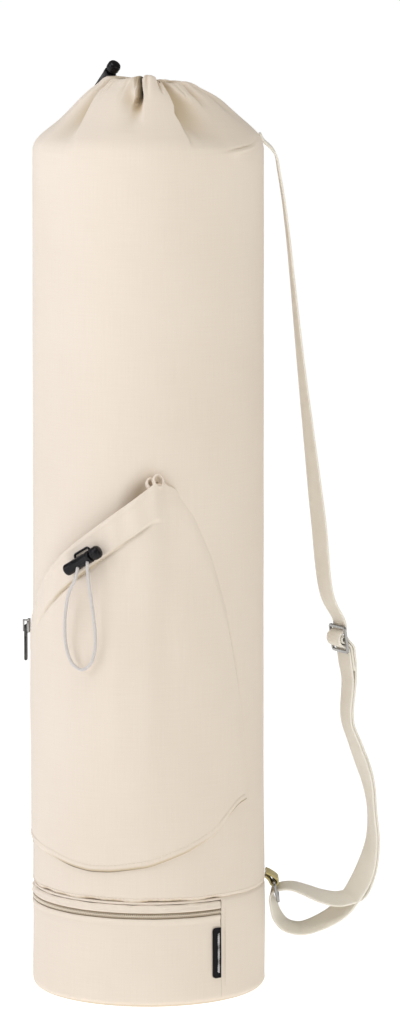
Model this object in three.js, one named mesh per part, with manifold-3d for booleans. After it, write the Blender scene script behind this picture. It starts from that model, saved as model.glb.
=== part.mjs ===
// Yoga mat bag of canvas: an upright tube with a gathered top, a slanted patch pocket with a drawcord, a zipped
// lower compartment, a short side zip and a webbing shoulder strap that runs through a ring and a slider.
// Millimetres and degrees. +Z is up, -Y is the front, and the origin is the centre of the underside.
// A turn is an angle round the bag, 0 at the front and growing to the right.
import * as THREE from "three";
import { mergeVertices } from "three/addons/utils/BufferGeometryUtils.js";
import Module from "manifold-3d";

const wasm = await Module();
wasm.setup();

// The tube
const baseRadius = 92.2;
const tubeTaper = 2.2;
const shoulderRadius = baseRadius - tubeTaper;
const shoulderHeight = 664;
const clothWall = 1.6;
const seatGap = 0.3;
const columnStep = 10;
const wallStep = 9;

// The gathered top
const domeRise = 57;
const hemWall = 3.2;
const creaseDepth = 1.6;

// The lower compartment
const seamHeight = 84;
const floorThickness = 2;
const weltProud = 0.4;
const cornerRadius = 6;
const cornerStart = 70;
const zipBelowSeam = 11;
const zipHeight = seamHeight - zipBelowSeam;
const coilWidth = 4.2;
const coilProud = 0.6;
const zipEnd = 38.5;
const zipStart = -170;

// The front pocket
const pocketWall = 1.4;
const pocketHemWall = 3.4;
const pocketHemHeight = 27;
const pocketSwell = 10;
const pocketLeft = -92;
const pocketCorner = 8.5;
const pocketRight = 57;

// The cord locks and eyelets
const cordDiameter = 2.5;
const cordClearance = 0.5;
const lockLength = 26;
const lockRadius = 4.7;
const lockBore = 3.3;
const lockEndWall = 1.3;
const stemRadius = 3;
const holeSpacing = 10;
const holeShift = 4.3;
const buttonTravel = 2.3;
const buttonLength = 7;
const buttonRadius = 5.2;
const eyeletRim = 1.3;
const eyeletHeight = 1;
const eyeletOffset = 5.8;
const lockStandOff = 1.1;
const pocketLockTurn = -29;
const pocketLockDrop = 18.43;
const pocketLockTilt = 31;
const collarLockTurn = -140;
const collarLockShare = 0.78;

// The side zip
const sideZipTurn = -98;
const sideZipBottom = 112;
const sideZipTop = 292;
const sideTapeWidth = 10;
const sideTapeWall = 1;
const sideCoilWidth = 4;
const sideCoilHeight = 1.4;
const sideTapeEnd = 4;
const sliderFromEnd = 1;
const sliderBodyWidth = 7.6;
const sliderBodyLength = 11;
const sliderBodyHeight = 2.4;
const bailLength = 9.6;
const bailWidth = 1.8;
const bailWall = 1.2;
const pullBar = 0.9;
const pullWidth = 6.5;
const pullWall = 2;
const pullLength = 28;
const pullWindow = 6.6;
const pullWindowWidth = 3.4;

// The label
const labelTurn = 34.9;
const labelBottom = 20.5;
const labelWidth = 9.6;
const labelHeight = 40;
const labelWall = 0.8;

// The shoulder strap and its hardware
const strapWidth = 25;
const strapWall = 1.8;
const strapSet = 8;
const strapReach = 86;
const strapEndShare = 0.18;
const layerGap = 0.35;
const sliderLength = 22;
const sliderSide = 2.8;
const sliderBar = 2.4;
const sliderWall = 2;
const sliderOut = 0.69;
const sliderUp = 0.376;
const sliderLean = 8;
const sliderTurn = 22;
const sewnTail = 30;
const foldStart = 20;
const foldSpare = 4;
const tailStart = 12;
const ringBar = 2.8;
const ringWall = 2.6;
const ringDrop = 14.7;
const ringOut = 8.4;
const ringBelowSeam = 2.4;
const ringHeight = seamHeight - ringBelowSeam;
const strapBelowRing = 39.6;
const strapFoot = ringHeight - strapBelowRing;
const ringLean = 12;
const tabWall = 1.6;
const tabWidth = 22;
const tabAboveRing = 7.4;
const tabBelowTop = 3.2;
const tabLift = 0.6;

const colours = {
  canvas: { color: 0xefe6d8, roughness: 0.85, metalness: 0 },
  webbing: { color: 0xefe4d6, roughness: 0.8, metalness: 0 },
  olive: { color: 0x9a8a4a, roughness: 0.8, metalness: 0 },
  cord: { color: 0xc9c5c2, roughness: 0.7, metalness: 0 },
  plastic: { color: 0x17151a, roughness: 0.35, metalness: 0 },
  zip: { color: 0xe0d6c4, roughness: 0.6, metalness: 0 },
  label: { color: 0x16161a, roughness: 0.7, metalness: 0 },
  metal: { color: 0xb9b7b2, roughness: 0.3, metalness: 1 },
};

// Outline of the gathered top where the cloth stands furthest out: shares of its rise and of the shoulder radius.
const domeProfile = [
  { up: 0, out: 1 },
  { up: 0.1, out: 0.986 },
  { up: 0.19, out: 0.952 },
  { up: 0.3, out: 0.882 },
  { up: 0.42, out: 0.795 },
  { up: 0.55, out: 0.708 },
  { up: 0.7, out: 0.615 },
  { up: 0.82, out: 0.54 },
  { up: 0.91, out: 0.468 },
  { up: 0.97, out: 0.425 },
  { up: 1, out: 0.385 },
  { up: 0.985, out: 0.345 },
  { up: 0.93, out: 0.325 },
];

// Valleys of the gathers: the turn at the rim, how far it has turned by the shoulder, its depth as a share of the
// radius, its half width, and the share of the rise at which it starts.
const gathers = [
  { turn: -118, lean: 4, depth: 0.38, half: 9, start: 0.15 },
  { turn: -87, lean: 2, depth: 0.2, half: 9, start: 0.3 },
  { turn: -60, lean: 8, depth: 0.3, half: 9, start: 0.05 },
  { turn: -9, lean: -3, depth: 0.44, half: 8, start: 0.3 },
  { turn: 23, lean: 2, depth: 0.38, half: 9, start: 0.1 },
  { turn: 46, lean: 2, depth: 0.2, half: 8, start: 0.4 },
  { turn: 73, lean: 3, depth: 0.32, half: 9, start: 0.2 },
  { turn: 117, lean: 0, depth: 0.36, half: 9, start: 0.15 },
  { turn: 143, lean: -2, depth: 0.28, half: 9, start: 0.3 },
  { turn: 169, lean: 3, depth: 0.4, half: 9, start: 0.1 },
  { turn: 198, lean: 0, depth: 0.3, half: 9, start: 0.25 },
];

// How much higher or lower the rim stands than its middle height, as a share of the rise.
const rimLifts = [
  { turn: -180, lift: -0.05 },
  { turn: -150, lift: 0 },
  { turn: -110, lift: -0.02 },
  { turn: -60, lift: -0.02 },
  { turn: -25, lift: 0 },
  { turn: 5, lift: 0.03 },
  { turn: 30, lift: -0.06 },
  { turn: 60, lift: -0.08 },
  { turn: 90, lift: -0.1 },
  { turn: 120, lift: -0.12 },
  { turn: 150, lift: -0.1 },
  { turn: 180, lift: -0.05 },
];
const rimLiftStart = 0.6;

// Heights of the tube's rings, as shares of the way from the seam to the shoulder.
const tubeRings = [0, 0.5, 0.93];

// The crease that the strap pulls into the shoulder at the front right.
const shoulderCrease = { turn: 48, halfTurn: 20, up: 0.1, halfUp: 0.09 };

// Edges of the pocket: turns in degrees, heights as shares of the shoulder height.
const pocketBottom = [
  { turn: -92, up: 0.18 },
  { turn: -75, up: 0.177 },
  { turn: -52.5, up: 0.17 },
  { turn: -40, up: 0.1634 },
  { turn: -29.4, up: 0.1604 },
  { turn: -18, up: 0.1616 },
  { turn: 1, up: 0.169 },
  { turn: 20, up: 0.186 },
  { turn: 33.5, up: 0.2024 },
  { turn: 42.5, up: 0.2225 },
  { turn: 50, up: 0.235 },
  { turn: 57, up: 0.2385 },
];
const pocketTop = [
  { turn: -92, up: 0.433 },
  { turn: 8.5, up: 0.631 },
  { turn: 15.7, up: 0.609 },
  { turn: 23.3, up: 0.584 },
  { turn: 33, up: 0.535 },
  { turn: 42, up: 0.47 },
  { turn: 50, up: 0.388 },
  { turn: 54.5, up: 0.31 },
  { turn: 57, up: 0.252 },
];

// How far the pocket stands off the tube along its mouth, as a share of its swell.
const pocketMouth = [
  { turn: -92, share: 0 },
  { turn: -84, share: 0.3 },
  { turn: -70, share: 0.45 },
  { turn: -50, share: 0.68 },
  { turn: -30, share: 0.9 },
  { turn: -14, share: 1 },
  { turn: 0, share: 0.85 },
  { turn: 6, share: 0.5 },
  { turn: 10, share: 0.3 },
  { turn: 25, share: 0.25 },
  { turn: 42, share: 0.15 },
  { turn: 57, share: 0 },
];
const pocketRows = [0, 0.07, 0.2, 0.4, 0.6, 0.8, 1];
const pocketHemRows = [0.12, 0.5, 0.9, 1];

// Soft dents in the pocket under its lock: place, half sizes and depth as a share of the swell.
const pocketDents = [
  { turn: -27, up: 0.47, halfTurn: 7, halfUp: 0.05, depth: 0.2 },
  { turn: -6, up: 0.36, halfTurn: 12, halfUp: 0.12, depth: 0.15 },
];

// The strap, as shares of its reach past the bag's side and of its height. Turn is how far its front edge is
// turned outwards.
const strapHang = [
  { out: 0.06, up: 1.0, turn: 0 },
  { out: 0.103, up: 0.99, turn: 1 },
  { out: 0.13, up: 0.97, turn: 2 },
  { out: 0.173, up: 0.934, turn: 3 },
  { out: 0.219, up: 0.884, turn: 4 },
  { out: 0.257, up: 0.833, turn: 6 },
  { out: 0.331, up: 0.732, turn: 11 },
  { out: 0.415, up: 0.63, turn: 19 },
  { out: 0.5, up: 0.528, turn: 26 },
  { out: 0.585, up: 0.43, turn: 24 },
];
const strapLoop = [
  { out: 0.76, up: 0.271, turn: 24 },
  { out: 0.835, up: 0.24, turn: 26 },
  { out: 0.9, up: 0.215, turn: 28 },
  { out: 0.955, up: 0.19, turn: 29 },
  { out: 0.99, up: 0.157, turn: 28 },
  { out: 1, up: 0.115, turn: 28 },
  { out: 0.94, up: 0.076, turn: 32 },
  { out: 0.83, up: 0.046, turn: 36 },
];
const strapUnder = [
  { out: 0.709, up: 0.024, turn: 36 },
  { out: 0.526, up: 0.008, turn: 32 },
  { out: 0.34, up: 0, turn: 26 },
  { out: 0.201, up: 0.005, turn: 20 },
  { out: 0.127, up: 0.017, turn: 16 },
  { out: 0.088, up: 0.033, turn: 10 },
];

// The strap's way through the ring, from the top of the ring and as shares of its drop.
const strapThroughRing = [
  { out: -0.156, up: -0.952, turn: 6 },
  { out: -0.136, up: -0.714, turn: 3 },
  { out: -0.027, up: -0.524, turn: 0 },
  { out: 0.211, up: -0.422, turn: -3 },
];

// The strap's way back from the ring to its loop, in the same shares as its hang.
const strapBack = [
  { out: 0.2, up: 0.0555, turn: -6 },
  { out: 0.274, up: 0.055, turn: -10 },
  { out: 0.385, up: 0.05, turn: -16 },
  { out: 0.524, up: 0.0425, turn: -24 },
  { out: 0.663, up: 0.0385, turn: -32 },
  { out: 0.75, up: 0.0395, turn: -36 },
];

// The strap's way over the slider's middle bar, and the sewn loop round it. Along is a share of the slider's length,
// and out, which is across the strap's plane, a share of its wall and the strap's together.
const throughSlider = [
  { along: -0.636, out: -0.658 },
  { along: -0.445, out: -0.632 },
  { along: -0.359, out: -0.605 },
  { along: -0.273, out: 0 },
  { along: -0.186, out: 0.868 },
  { along: -0.1, out: 1.158 },
  { along: 0, out: 1.237 },
  { along: 0.1, out: 1.158 },
  { along: 0.186, out: 0.868 },
  { along: 0.273, out: 0 },
  { along: 0.359, out: -0.605 },
  { along: 0.445, out: -0.632 },
  { along: 0.636, out: -0.658 },
];
const aroundSliderBar = [
  { along: 0.373, out: -1.895 },
  { along: 0.209, out: -1.526 },
  { along: 0.073, out: -0.947 },
  { along: -0.05, out: -0.579 },
  { along: -0.114, out: -0.158 },
  { along: -0.114, out: 0.184 },
  { along: -0.05, out: 0.605 },
  { along: 0.05, out: 0.605 },
  { along: 0.114, out: 0.237 },
  { along: 0.136, out: -0.237 },
  { along: 0.205, out: -0.789 },
  { along: 0.327, out: -1.184 },
];

// Routes of the two drawcords, chosen by hand: out of the eyelet, through the lock, round the loop and back.
const pocketCordRoute = [
  [-53.7, -91.8, 354.3],
  [-53.7, -94.5, 352.0],
  [-53.6, -97.3, 349.7],
  [-53.8, -100.3, 346.7],
  [-54.5, -101.8, 343.2],
  [-55.7, -101.8, 339.3],
  [-59.0, -97.0, 332.3],
  [-61.4, -92.9, 324.6],
  [-62.8, -90.9, 315.7],
  [-63.7, -89.2, 306.8],
  [-63.9, -87.8, 297.7],
  [-63.3, -87.1, 288.6],
  [-61.5, -87.3, 279.7],
  [-57.6, -89.0, 271.6],
  [-50.6, -92.6, 267.8],
  [-44.1, -96.1, 272.7],
  [-41.1, -98.3, 281.1],
  [-40.1, -99.8, 290.0],
  [-40.3, -100.9, 299.1],
  [-41.1, -101.8, 308.2],
  [-42.2, -102.6, 317.3],
  [-43.4, -103.8, 326.3],
  [-44.6, -105.5, 335.2],
  [-45.6, -106.6, 344.2],
  [-45.9, -106.0, 348.2],
  [-46.0, -104.4, 351.8],
  [-46.1, -101.5, 354.8],
  [-46.2, -98.7, 357.1],
  [-46.2, -95.9, 359.4],
];
const collarCordRoute = [
  [-32.4, 33.0, 716.9],
  [-31.5, 36.0, 718.5],
  [-30.5, 39.0, 720.3],
  [-29.4, 42.7, 721.5],
  [-28.3, 46.4, 720.9],
  [-27.1, 49.8, 718.9],
  [-24.6, 54.7, 714.5],
  [-21.9, 59.4, 709.9],
  [-19.6, 63.6, 704.8],
  [-18.0, 66.9, 698.7],
  [-17.2, 70.5, 692.7],
  [-17.1, 75.1, 687.4],
  [-18.1, 79.9, 682.3],
  [-20.9, 83.9, 677.2],
  [-26.4, 85.3, 673.3],
  [-32.9, 83.2, 673.0],
  [-36.8, 78.8, 676.6],
  [-37.4, 73.9, 681.6],
  [-37.1, 69.9, 687.4],
  [-36.6, 66.5, 693.5],
  [-35.6, 62.9, 699.6],
  [-34.2, 59.2, 705.5],
  [-33.3, 55.1, 711.1],
  [-33.4, 51.9, 713.5],
  [-34.0, 48.1, 714.4],
  [-35.0, 44.4, 713.1],
  [-36.0, 41.4, 711.4],
  [-37.0, 38.4, 709.7],
];

const radians = THREE.MathUtils.degToRad;
const lerp = THREE.MathUtils.lerp;
const smooth = (share) => THREE.MathUtils.smoothstep(share, 0, 1);
const group = new THREE.Group();
const sideRadius = (baseRadius + shoulderRadius) / 2;

function tubeRadius(height) {
  return lerp(baseRadius, shoulderRadius, Math.min(height / shoulderHeight, 1));
}

function around(turn, radius, height) {
  const a = radians(turn);
  return new THREE.Vector3(radius * Math.sin(a), -radius * Math.cos(a), height);
}

function outward(turn) {
  return around(turn, 1, 0);
}

function sideways(turn) {
  return around(turn + 90, 1, 0);
}

// Reads a table at one value of its first column, in straight steps.
function readTable(rows, key, column, at) {
  const next = rows.findIndex((row) => row[key] >= at);
  if (next === 0) return rows[0][column];
  if (next < 0) return rows.at(-1)[column];
  const low = rows[next - 1];
  const high = rows[next];
  return lerp(low[column], high[column], (at - low[key]) / (high[key] - low[key]));
}

// A bell from 1 in the middle to 0 at one half width.
function bell(distance) {
  return Math.abs(distance) < 1 ? (1 + Math.cos(Math.PI * distance)) / 2 : 0;
}

function geometryOf(points, triangles) {
  const geometry = new THREE.BufferGeometry().setFromPoints(points);
  geometry.setIndex(triangles);
  return geometry;
}

function signedVolume(points, triangles) {
  let six = 0;
  for (let i = 0; i < triangles.length; i += 3) {
    const [a, b, c] = [0, 1, 2].map((k) => points[triangles[i + k]]);
    six += a.dot(new THREE.Vector3().crossVectors(b, c));
  }
  return six / 6;
}

// A closed body through sections. Each section has an outer and an inner row of points, and closed bodies run round
// to their first section again.
function bodyThrough(sections, closed) {
  const rows = sections[0].outer.length;
  const size = 2 * rows;
  const points = sections.flatMap((s) => [...s.outer, ...[...s.inner].reverse()]);
  const triangles = [];
  const quad = (a, b, c, d) => triangles.push(a, b, c, a, c, d);
  const spans = closed ? sections.length : sections.length - 1;
  for (let s = 0; s < spans; s++) {
    const here = s * size;
    const next = ((s + 1) % sections.length) * size;
    for (let k = 0; k < size; k++) {
      const up = (k + 1) % size;
      quad(here + k, next + k, next + up, here + up);
    }
  }
  if (!closed) {
    const last = (sections.length - 1) * size;
    for (let k = 0; k < rows - 1; k++) {
      const back = size - 1 - k;
      quad(k, k + 1, back - 1, back);
      quad(last + back, last + back - 1, last + k + 1, last + k);
    }
  }
  if (signedVolume(points, triangles) < 0) triangles.reverse();
  return geometryOf(points, triangles);
}

function add(name, geometry, look, parent = group) {
  const mesh = new THREE.Mesh(geometry, new THREE.MeshStandardMaterial(colours[look]));
  mesh.name = name;
  parent.add(mesh);
  return mesh;
}

// Joining and cutting of closed geometries
function toSolid(geometry) {
  const bare = geometry.clone();
  bare.deleteAttribute("normal");
  bare.deleteAttribute("uv");
  const merged = mergeVertices(bare, 1e-4);
  const mesh = new wasm.Mesh({
    numProp: 3,
    vertProperties: merged.attributes.position.array,
    triVerts: new Uint32Array(merged.index.array),
  });
  return new wasm.Manifold(mesh);
}

function fromSolid(solid) {
  const mesh = solid.getMesh();
  const geometry = new THREE.BufferGeometry();
  geometry.setAttribute("position", new THREE.BufferAttribute(mesh.vertProperties, 3));
  geometry.setIndex(new THREE.BufferAttribute(mesh.triVerts, 1));
  return geometry;
}

function cut(geometry, ...tools) {
  return fromSolid(tools.reduce((left, tool) => left.subtract(toSolid(tool)), toSolid(geometry)));
}

function join(...pieces) {
  return fromSolid(pieces.map(toSolid).reduce((whole, piece) => whole.add(piece)));
}

// A body turned round the X axis from a profile of rows along it.
function turned(rows, sides) {
  const profile = rows.map((row) => new THREE.Vector2(row.radius, row.along));
  return new THREE.LatheGeometry(profile, sides).rotateZ(-Math.PI / 2);
}

function roundedOutline(width, height, corner) {
  const shape = new THREE.Shape();
  const x = width / 2 - corner;
  const y = height / 2 - corner;
  shape.absarc(x, y, corner, 0, Math.PI / 2);
  shape.absarc(-x, y, corner, Math.PI / 2, Math.PI);
  shape.absarc(-x, -y, corner, Math.PI, 1.5 * Math.PI);
  shape.absarc(x, -y, corner, 1.5 * Math.PI, 2 * Math.PI);
  return shape;
}

function boxHole(left, bottom, right, top) {
  return new THREE.Path([
    new THREE.Vector2(left, bottom),
    new THREE.Vector2(right, bottom),
    new THREE.Vector2(right, top),
    new THREE.Vector2(left, top),
  ]);
}

function plate(shape, thickness, bevel) {
  const geometry = new THREE.ExtrudeGeometry(shape, {
    depth: thickness - 2 * bevel,
    bevelEnabled: bevel > 0,
    bevelThickness: bevel,
    bevelSize: bevel,
    bevelOffset: -bevel,
    bevelSegments: 1,
    curveSegments: 2,
  });
  return geometry.translate(0, 0, bevel - thickness / 2);
}

// A group whose own X, Y and Z axes point along three given directions.
function placed(origin, x, y, z, parent = group) {
  const holder = new THREE.Group();
  holder.position.copy(origin);
  holder.quaternion.setFromRotationMatrix(new THREE.Matrix4().makeBasis(x, y, z));
  parent.add(holder);
  return holder;
}

// Bag body: tube, shoulder and gathered top in one cloth
function gatherColumns() {
  const columns = [];
  gathers.forEach((gather, i) => {
    const next = gathers[i + 1] ?? { ...gathers[0], turn: gathers[0].turn + 360 };
    for (const step of [-1, -0.5, 0, 0.5, 1]) {
      columns.push({ turn: gather.turn + step * gather.half, lean: gather.lean });
    }
    const from = gather.turn + gather.half;
    const to = next.turn - next.half;
    const count = Math.ceil((to - from) / columnStep);
    for (let k = 1; k < count; k++) {
      const share = k / count;
      columns.push({ turn: lerp(from, to, share), lean: lerp(gather.lean, next.lean, share) });
    }
  });
  return columns;
}

function gatherDepth(turn, up) {
  let depth = 0;
  for (const gather of gathers) {
    const away = THREE.MathUtils.euclideanModulo(turn - gather.turn + 180, 360) - 180;
    const grown = Math.max(0, (up - gather.start) / (1 - gather.start));
    depth += gather.depth * bell(away / gather.half) * grown ** 1.4;
  }
  return depth;
}

function rimLift(turn, up) {
  const wrapped = THREE.MathUtils.euclideanModulo(turn + 180, 360) - 180;
  const share = smooth((up - rimLiftStart) / (1 - rimLiftStart));
  return 1 + share * readTable(rimLifts, "turn", "lift", wrapped);
}

function domePoint(column, level, pastRim) {
  const up = pastRim ? 1 : level.up;
  const turn = column.turn + column.lean * (1 - up);
  const crease = shoulderCrease;
  const across = bell((turn - crease.turn) / crease.halfTurn);
  const dent = creaseDepth * across * bell((level.up - crease.up) / crease.halfUp);
  const radius = level.out * shoulderRadius * (1 - gatherDepth(column.turn, up)) - dent;
  return around(turn, radius, shoulderHeight + level.up * domeRise * rimLift(turn, up));
}

function bodyColumn(column) {
  const bottom = seamHeight + seatGap;
  const tube = tubeRings.map((share) => {
    const height = lerp(bottom, shoulderHeight, share);
    return around(column.turn + column.lean, tubeRadius(height), height);
  });
  const rim = domeProfile.findIndex((level) => level.up === 1);
  return [...tube, ...domeProfile.map((level, i) => domePoint(column, level, i > rim))];
}

// Moves each point of a closed grid inwards along the cloth's normal.
function insideOf(grid, wallAt) {
  const count = grid.length;
  return grid.map((column, c) =>
    column.map((point, r) => {
      const left = grid[(c + count - 1) % count][r];
      const right = grid[(c + 1) % count][r];
      const below = column[Math.max(r - 1, 0)];
      const above = column[Math.min(r + 1, column.length - 1)];
      const across = new THREE.Vector3().subVectors(right, left);
      const along = new THREE.Vector3().subVectors(above, below);
      const normal = across.cross(along).normalize();
      const moved = point.clone().addScaledVector(normal, -wallAt(r));
      if (r === 0) moved.z = point.z;
      return moved;
    }),
  );
}

function bagBody() {
  const grid = gatherColumns().map(bodyColumn);
  const hemStart = tubeRings.length + domeProfile.findIndex((level) => level.up > 0.8);
  const inside = insideOf(grid, (row) => (row >= hemStart ? hemWall : clothWall));
  return bodyThrough(
    grid.map((outer, i) => ({ outer, inner: inside[i] })),
    true,
  );
}

add("bag_body", bagBody(), "canvas");

// The round floors
const floorTop = seamHeight - floorThickness - seatGap;

function disc(radius, bottom, edge) {
  const rows = [
    new THREE.Vector2(0, bottom),
    new THREE.Vector2(radius - edge, bottom),
    new THREE.Vector2(radius, bottom + edge),
    new THREE.Vector2(radius, bottom + floorThickness),
    new THREE.Vector2(0, bottom + floorThickness),
  ];
  return new THREE.LatheGeometry(rows, 48).rotateX(Math.PI / 2);
}

const cornerCosine = Math.cos(radians(cornerStart));
const baseDiscRadius = baseRadius - cornerRadius + (cornerRadius - clothWall) * cornerCosine - seatGap;
add("base_disc", disc(baseDiscRadius, 0, 0.6), "canvas");
add("divider_disc", disc(tubeRadius(seamHeight) + weltProud, seamHeight - floorThickness, 0.5), "canvas");

// Walls of the lower compartment: cloth round part of the tube, from a profile of radius and height
function wallThrough(fromTurn, toTurn, outerRows, innerRows) {
  const count = Math.ceil((toTurn - fromTurn) / wallStep);
  const sections = [];
  for (let i = 0; i <= count; i++) {
    const turn = lerp(fromTurn, toTurn, i / count);
    const points = (rows) => rows.map((row) => around(turn, row.radius, row.height));
    sections.push({ outer: points(outerRows), inner: points(innerRows) });
  }
  return bodyThrough(sections, false);
}

function straightRow(height, depth) {
  return { radius: tubeRadius(height) - depth, height };
}

function cornerRows(radius) {
  const rows = [];
  for (const angle of [cornerStart, 45, 20]) {
    rows.push({
      radius: baseRadius - cornerRadius + radius * Math.cos(radians(angle)),
      height: cornerRadius - radius * Math.sin(radians(angle)),
    });
  }
  return rows;
}

function lowerWall(fromTurn, toTurn, top) {
  const outer = [...cornerRows(cornerRadius), straightRow(cornerRadius, 0), straightRow(top, 0)];
  const inner = [
    ...cornerRows(cornerRadius - clothWall),
    straightRow(cornerRadius, clothWall),
    straightRow(top, clothWall),
  ];
  return wallThrough(fromTurn, toTurn, outer, inner);
}

const seamTurn = (seatGap / baseRadius) * THREE.MathUtils.RAD2DEG;
const coilTop = zipHeight + coilWidth / 2;
const coilBottom = zipHeight - coilWidth / 2;
add("compartment_front", lowerWall(zipStart, zipEnd, coilBottom - seatGap), "canvas");
add("compartment_back", lowerWall(zipEnd + seamTurn, zipStart + 360 - seamTurn, floorTop), "canvas");

const stripRows = (depth) => [straightRow(coilTop + seatGap, depth), straightRow(floorTop, depth)];
add("zip_upper_strip", wallThrough(zipStart, zipEnd, stripRows(0), stripRows(clothWall)), "canvas");

const coilRows = [
  straightRow(coilBottom, coilProud),
  straightRow(coilBottom + coilWidth / 4, -coilProud),
  straightRow(coilTop - coilWidth / 4, -coilProud),
  straightRow(coilTop, coilProud),
];
const coilBackRows = coilRows.map((row) => straightRow(row.height, clothWall));
add("compartment_zip_coil", wallThrough(zipStart, zipEnd, coilRows, coilBackRows), "zip");

// Slider of the compartment zip, at the back end of its coil
const backSliderTurn = zipStart + 6;
const backSliderOrigin = around(
  backSliderTurn,
  tubeRadius(zipHeight) + coilProud + seatGap + sliderBodyHeight / 2,
  zipHeight,
);
const backSlider = placed(
  backSliderOrigin,
  sideways(backSliderTurn),
  new THREE.Vector3(0, 0, 1),
  outward(backSliderTurn),
);
const sliderOutline = roundedOutline(sliderBodyLength, sliderBodyWidth, 2);
add("compartment_zip_slider", plate(sliderOutline, sliderBodyHeight, 0.5), "metal", backSlider);

// The front pocket: one cloth with a double hem at its mouth
function pocketHeights(turn) {
  const bottom = readTable(pocketBottom, "turn", "up", turn) * shoulderHeight;
  const top = readTable(pocketTop, "turn", "up", turn) * shoulderHeight;
  const hem = Math.min(pocketHemHeight, 0.3 * (top - bottom));
  const heights = pocketRows.map((share) => lerp(bottom, top - hem, share));
  const inHem = pocketHemRows.map((share) => top - hem + share * hem);
  return [...heights, ...inHem];
}

function pocketStandOff(turn, height, share) {
  const mouth = readTable(pocketMouth, "turn", "share", turn) * pocketSwell;
  const open = 1 - (1 - share) ** 2.2;
  const sewn = Math.sin(Math.PI * share);
  const closing = smooth((turn - pocketCorner + 5) / 12);
  let dented = 1;
  for (const dent of pocketDents) {
    const across = bell((turn - dent.turn) / dent.halfTurn);
    dented -= dent.depth * across * bell((height / shoulderHeight - dent.up) / dent.halfUp);
  }
  return seatGap + mouth * lerp(open, sewn, closing) * dented;
}

function pocketColumnPoints(turn) {
  const heights = pocketHeights(turn);
  const bottom = heights[0];
  const top = heights.at(-1);
  const hemShare = 1 - smooth((turn - pocketCorner) / 4);
  const outer = [];
  const inner = [];
  heights.forEach((height, i) => {
    const inHem = i >= pocketRows.length;
    const wall = inHem ? lerp(pocketWall, pocketHemWall, hemShare) : pocketWall;
    const away = pocketStandOff(turn, height, (height - bottom) / (top - bottom));
    inner.push(around(turn, tubeRadius(height) + away, height));
    outer.push(around(turn, tubeRadius(height) + away + wall, height));
  });
  return { outer, inner };
}

function frontPocket() {
  const turns = [];
  for (let i = 0; i <= 15; i++) turns.push(lerp(pocketLeft, pocketCorner - 2.5, i / 15));
  turns.push(pocketCorner, pocketCorner + 4);
  for (let i = 1; i <= 6; i++) turns.push(lerp(pocketCorner + 4, pocketRight, i / 6));
  return bodyThrough(turns.map(pocketColumnPoints), false);
}

add("front_pocket", frontPocket(), "canvas");

// Cord lock: a barrel with two cross holes, and a sprung button whose stem has a slot for each strand.
// X runs along the lock to the button, Z is the way that the cord leaves.
const strandRadius = cordDiameter / 2;
const holeRadius = strandRadius + cordClearance;
const boreEnd = -lockLength / 2 + lockEndWall;
const stemEnd = boreEnd + seatGap + buttonTravel;
const headStart = lockLength / 2 + buttonTravel + seatGap;

function lockBarrel() {
  const half = lockLength / 2;
  const shell = turned(
    [
      { radius: 0, along: -half },
      { radius: lockRadius - 0.9, along: -half },
      { radius: lockRadius, along: -half + 0.9 },
      { radius: lockRadius, along: half },
      { radius: lockBore, along: half },
      { radius: lockBore, along: boreEnd },
      { radius: 0, along: boreEnd },
    ],
    16,
  );
  const holes = [-1, 1].map((side) => {
    const hole = new THREE.CylinderGeometry(holeRadius, holeRadius, 3 * lockRadius, 8);
    return hole.rotateX(Math.PI / 2).translate(holeShift + (side * holeSpacing) / 2, 0, 0);
  });
  return cut(shell, ...holes);
}

function lockButton() {
  const end = headStart + buttonLength;
  const whole = turned(
    [
      { radius: 0, along: stemEnd },
      { radius: stemRadius, along: stemEnd },
      { radius: stemRadius, along: headStart },
      { radius: buttonRadius - 0.5, along: headStart },
      { radius: buttonRadius, along: headStart + 0.6 },
      { radius: buttonRadius, along: end - 2.6 },
      { radius: buttonRadius * 0.82, along: end - 0.8 },
      { radius: buttonRadius * 0.45, along: end },
      { radius: 0, along: end },
    ],
    16,
  );
  const length = 2 * strandRadius + 2 * seatGap + buttonTravel;
  const width = 2 * (strandRadius + seatGap);
  const slots = [-1, 1].map((side) => {
    const middle = holeShift + (side * holeSpacing) / 2 + buttonTravel / 2;
    return new THREE.BoxGeometry(length, width, 3 * stemRadius).translate(middle, 0, 0);
  });
  return cut(whole, ...slots);
}

// An oblong eyelet that both strands leave side by side
function eyelet() {
  const innerWidth = 2 * (strandRadius + seatGap);
  const innerLength = holeSpacing + innerWidth;
  const outerWidth = innerWidth + 2 * eyeletRim;
  const shape = roundedOutline(innerLength + 2 * eyeletRim, outerWidth, outerWidth / 2);
  shape.holes.push(roundedOutline(innerLength, innerWidth, innerWidth / 2));
  return plate(shape, eyeletHeight, 0.25);
}

// A lock and its eyelet on cloth: along is the lock's direction, up the side that its eyelet is on, and normal the
// way out of the cloth.
function addLock(name, surface, along, up, normal) {
  const height = lockRadius + lockStandOff;
  const origin = surface.clone().addScaledVector(normal, height);
  const towardsEyelet = up.clone().multiplyScalar(eyeletOffset);
  const leaving = normal.clone().multiplyScalar(height - 2 * seatGap).sub(towardsEyelet).normalize();
  const side = new THREE.Vector3().crossVectors(leaving, along);
  const holder = placed(origin, along, side, leaving);
  add(name + "_lock_barrel", lockBarrel(), "plastic", holder);
  add(name + "_lock_button", lockButton(), "plastic", holder);
}

function addEyelet(name, surface, along, normal) {
  const side = new THREE.Vector3().crossVectors(normal, along);
  const origin = surface.clone().addScaledVector(normal, 2 * seatGap + eyeletHeight / 2);
  const holder = placed(origin, along, side, normal);
  add(name + "_eyelet", eyelet(), "plastic", holder);
}

const worldUp = new THREE.Vector3(0, 0, 1);

function pocketFace(turn, height) {
  const heights = pocketHeights(turn);
  const share = (height - heights[0]) / (heights.at(-1) - heights[0]);
  const away = pocketStandOff(turn, height, share) + pocketHemWall;
  return around(turn, tubeRadius(height) + away, height);
}

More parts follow.
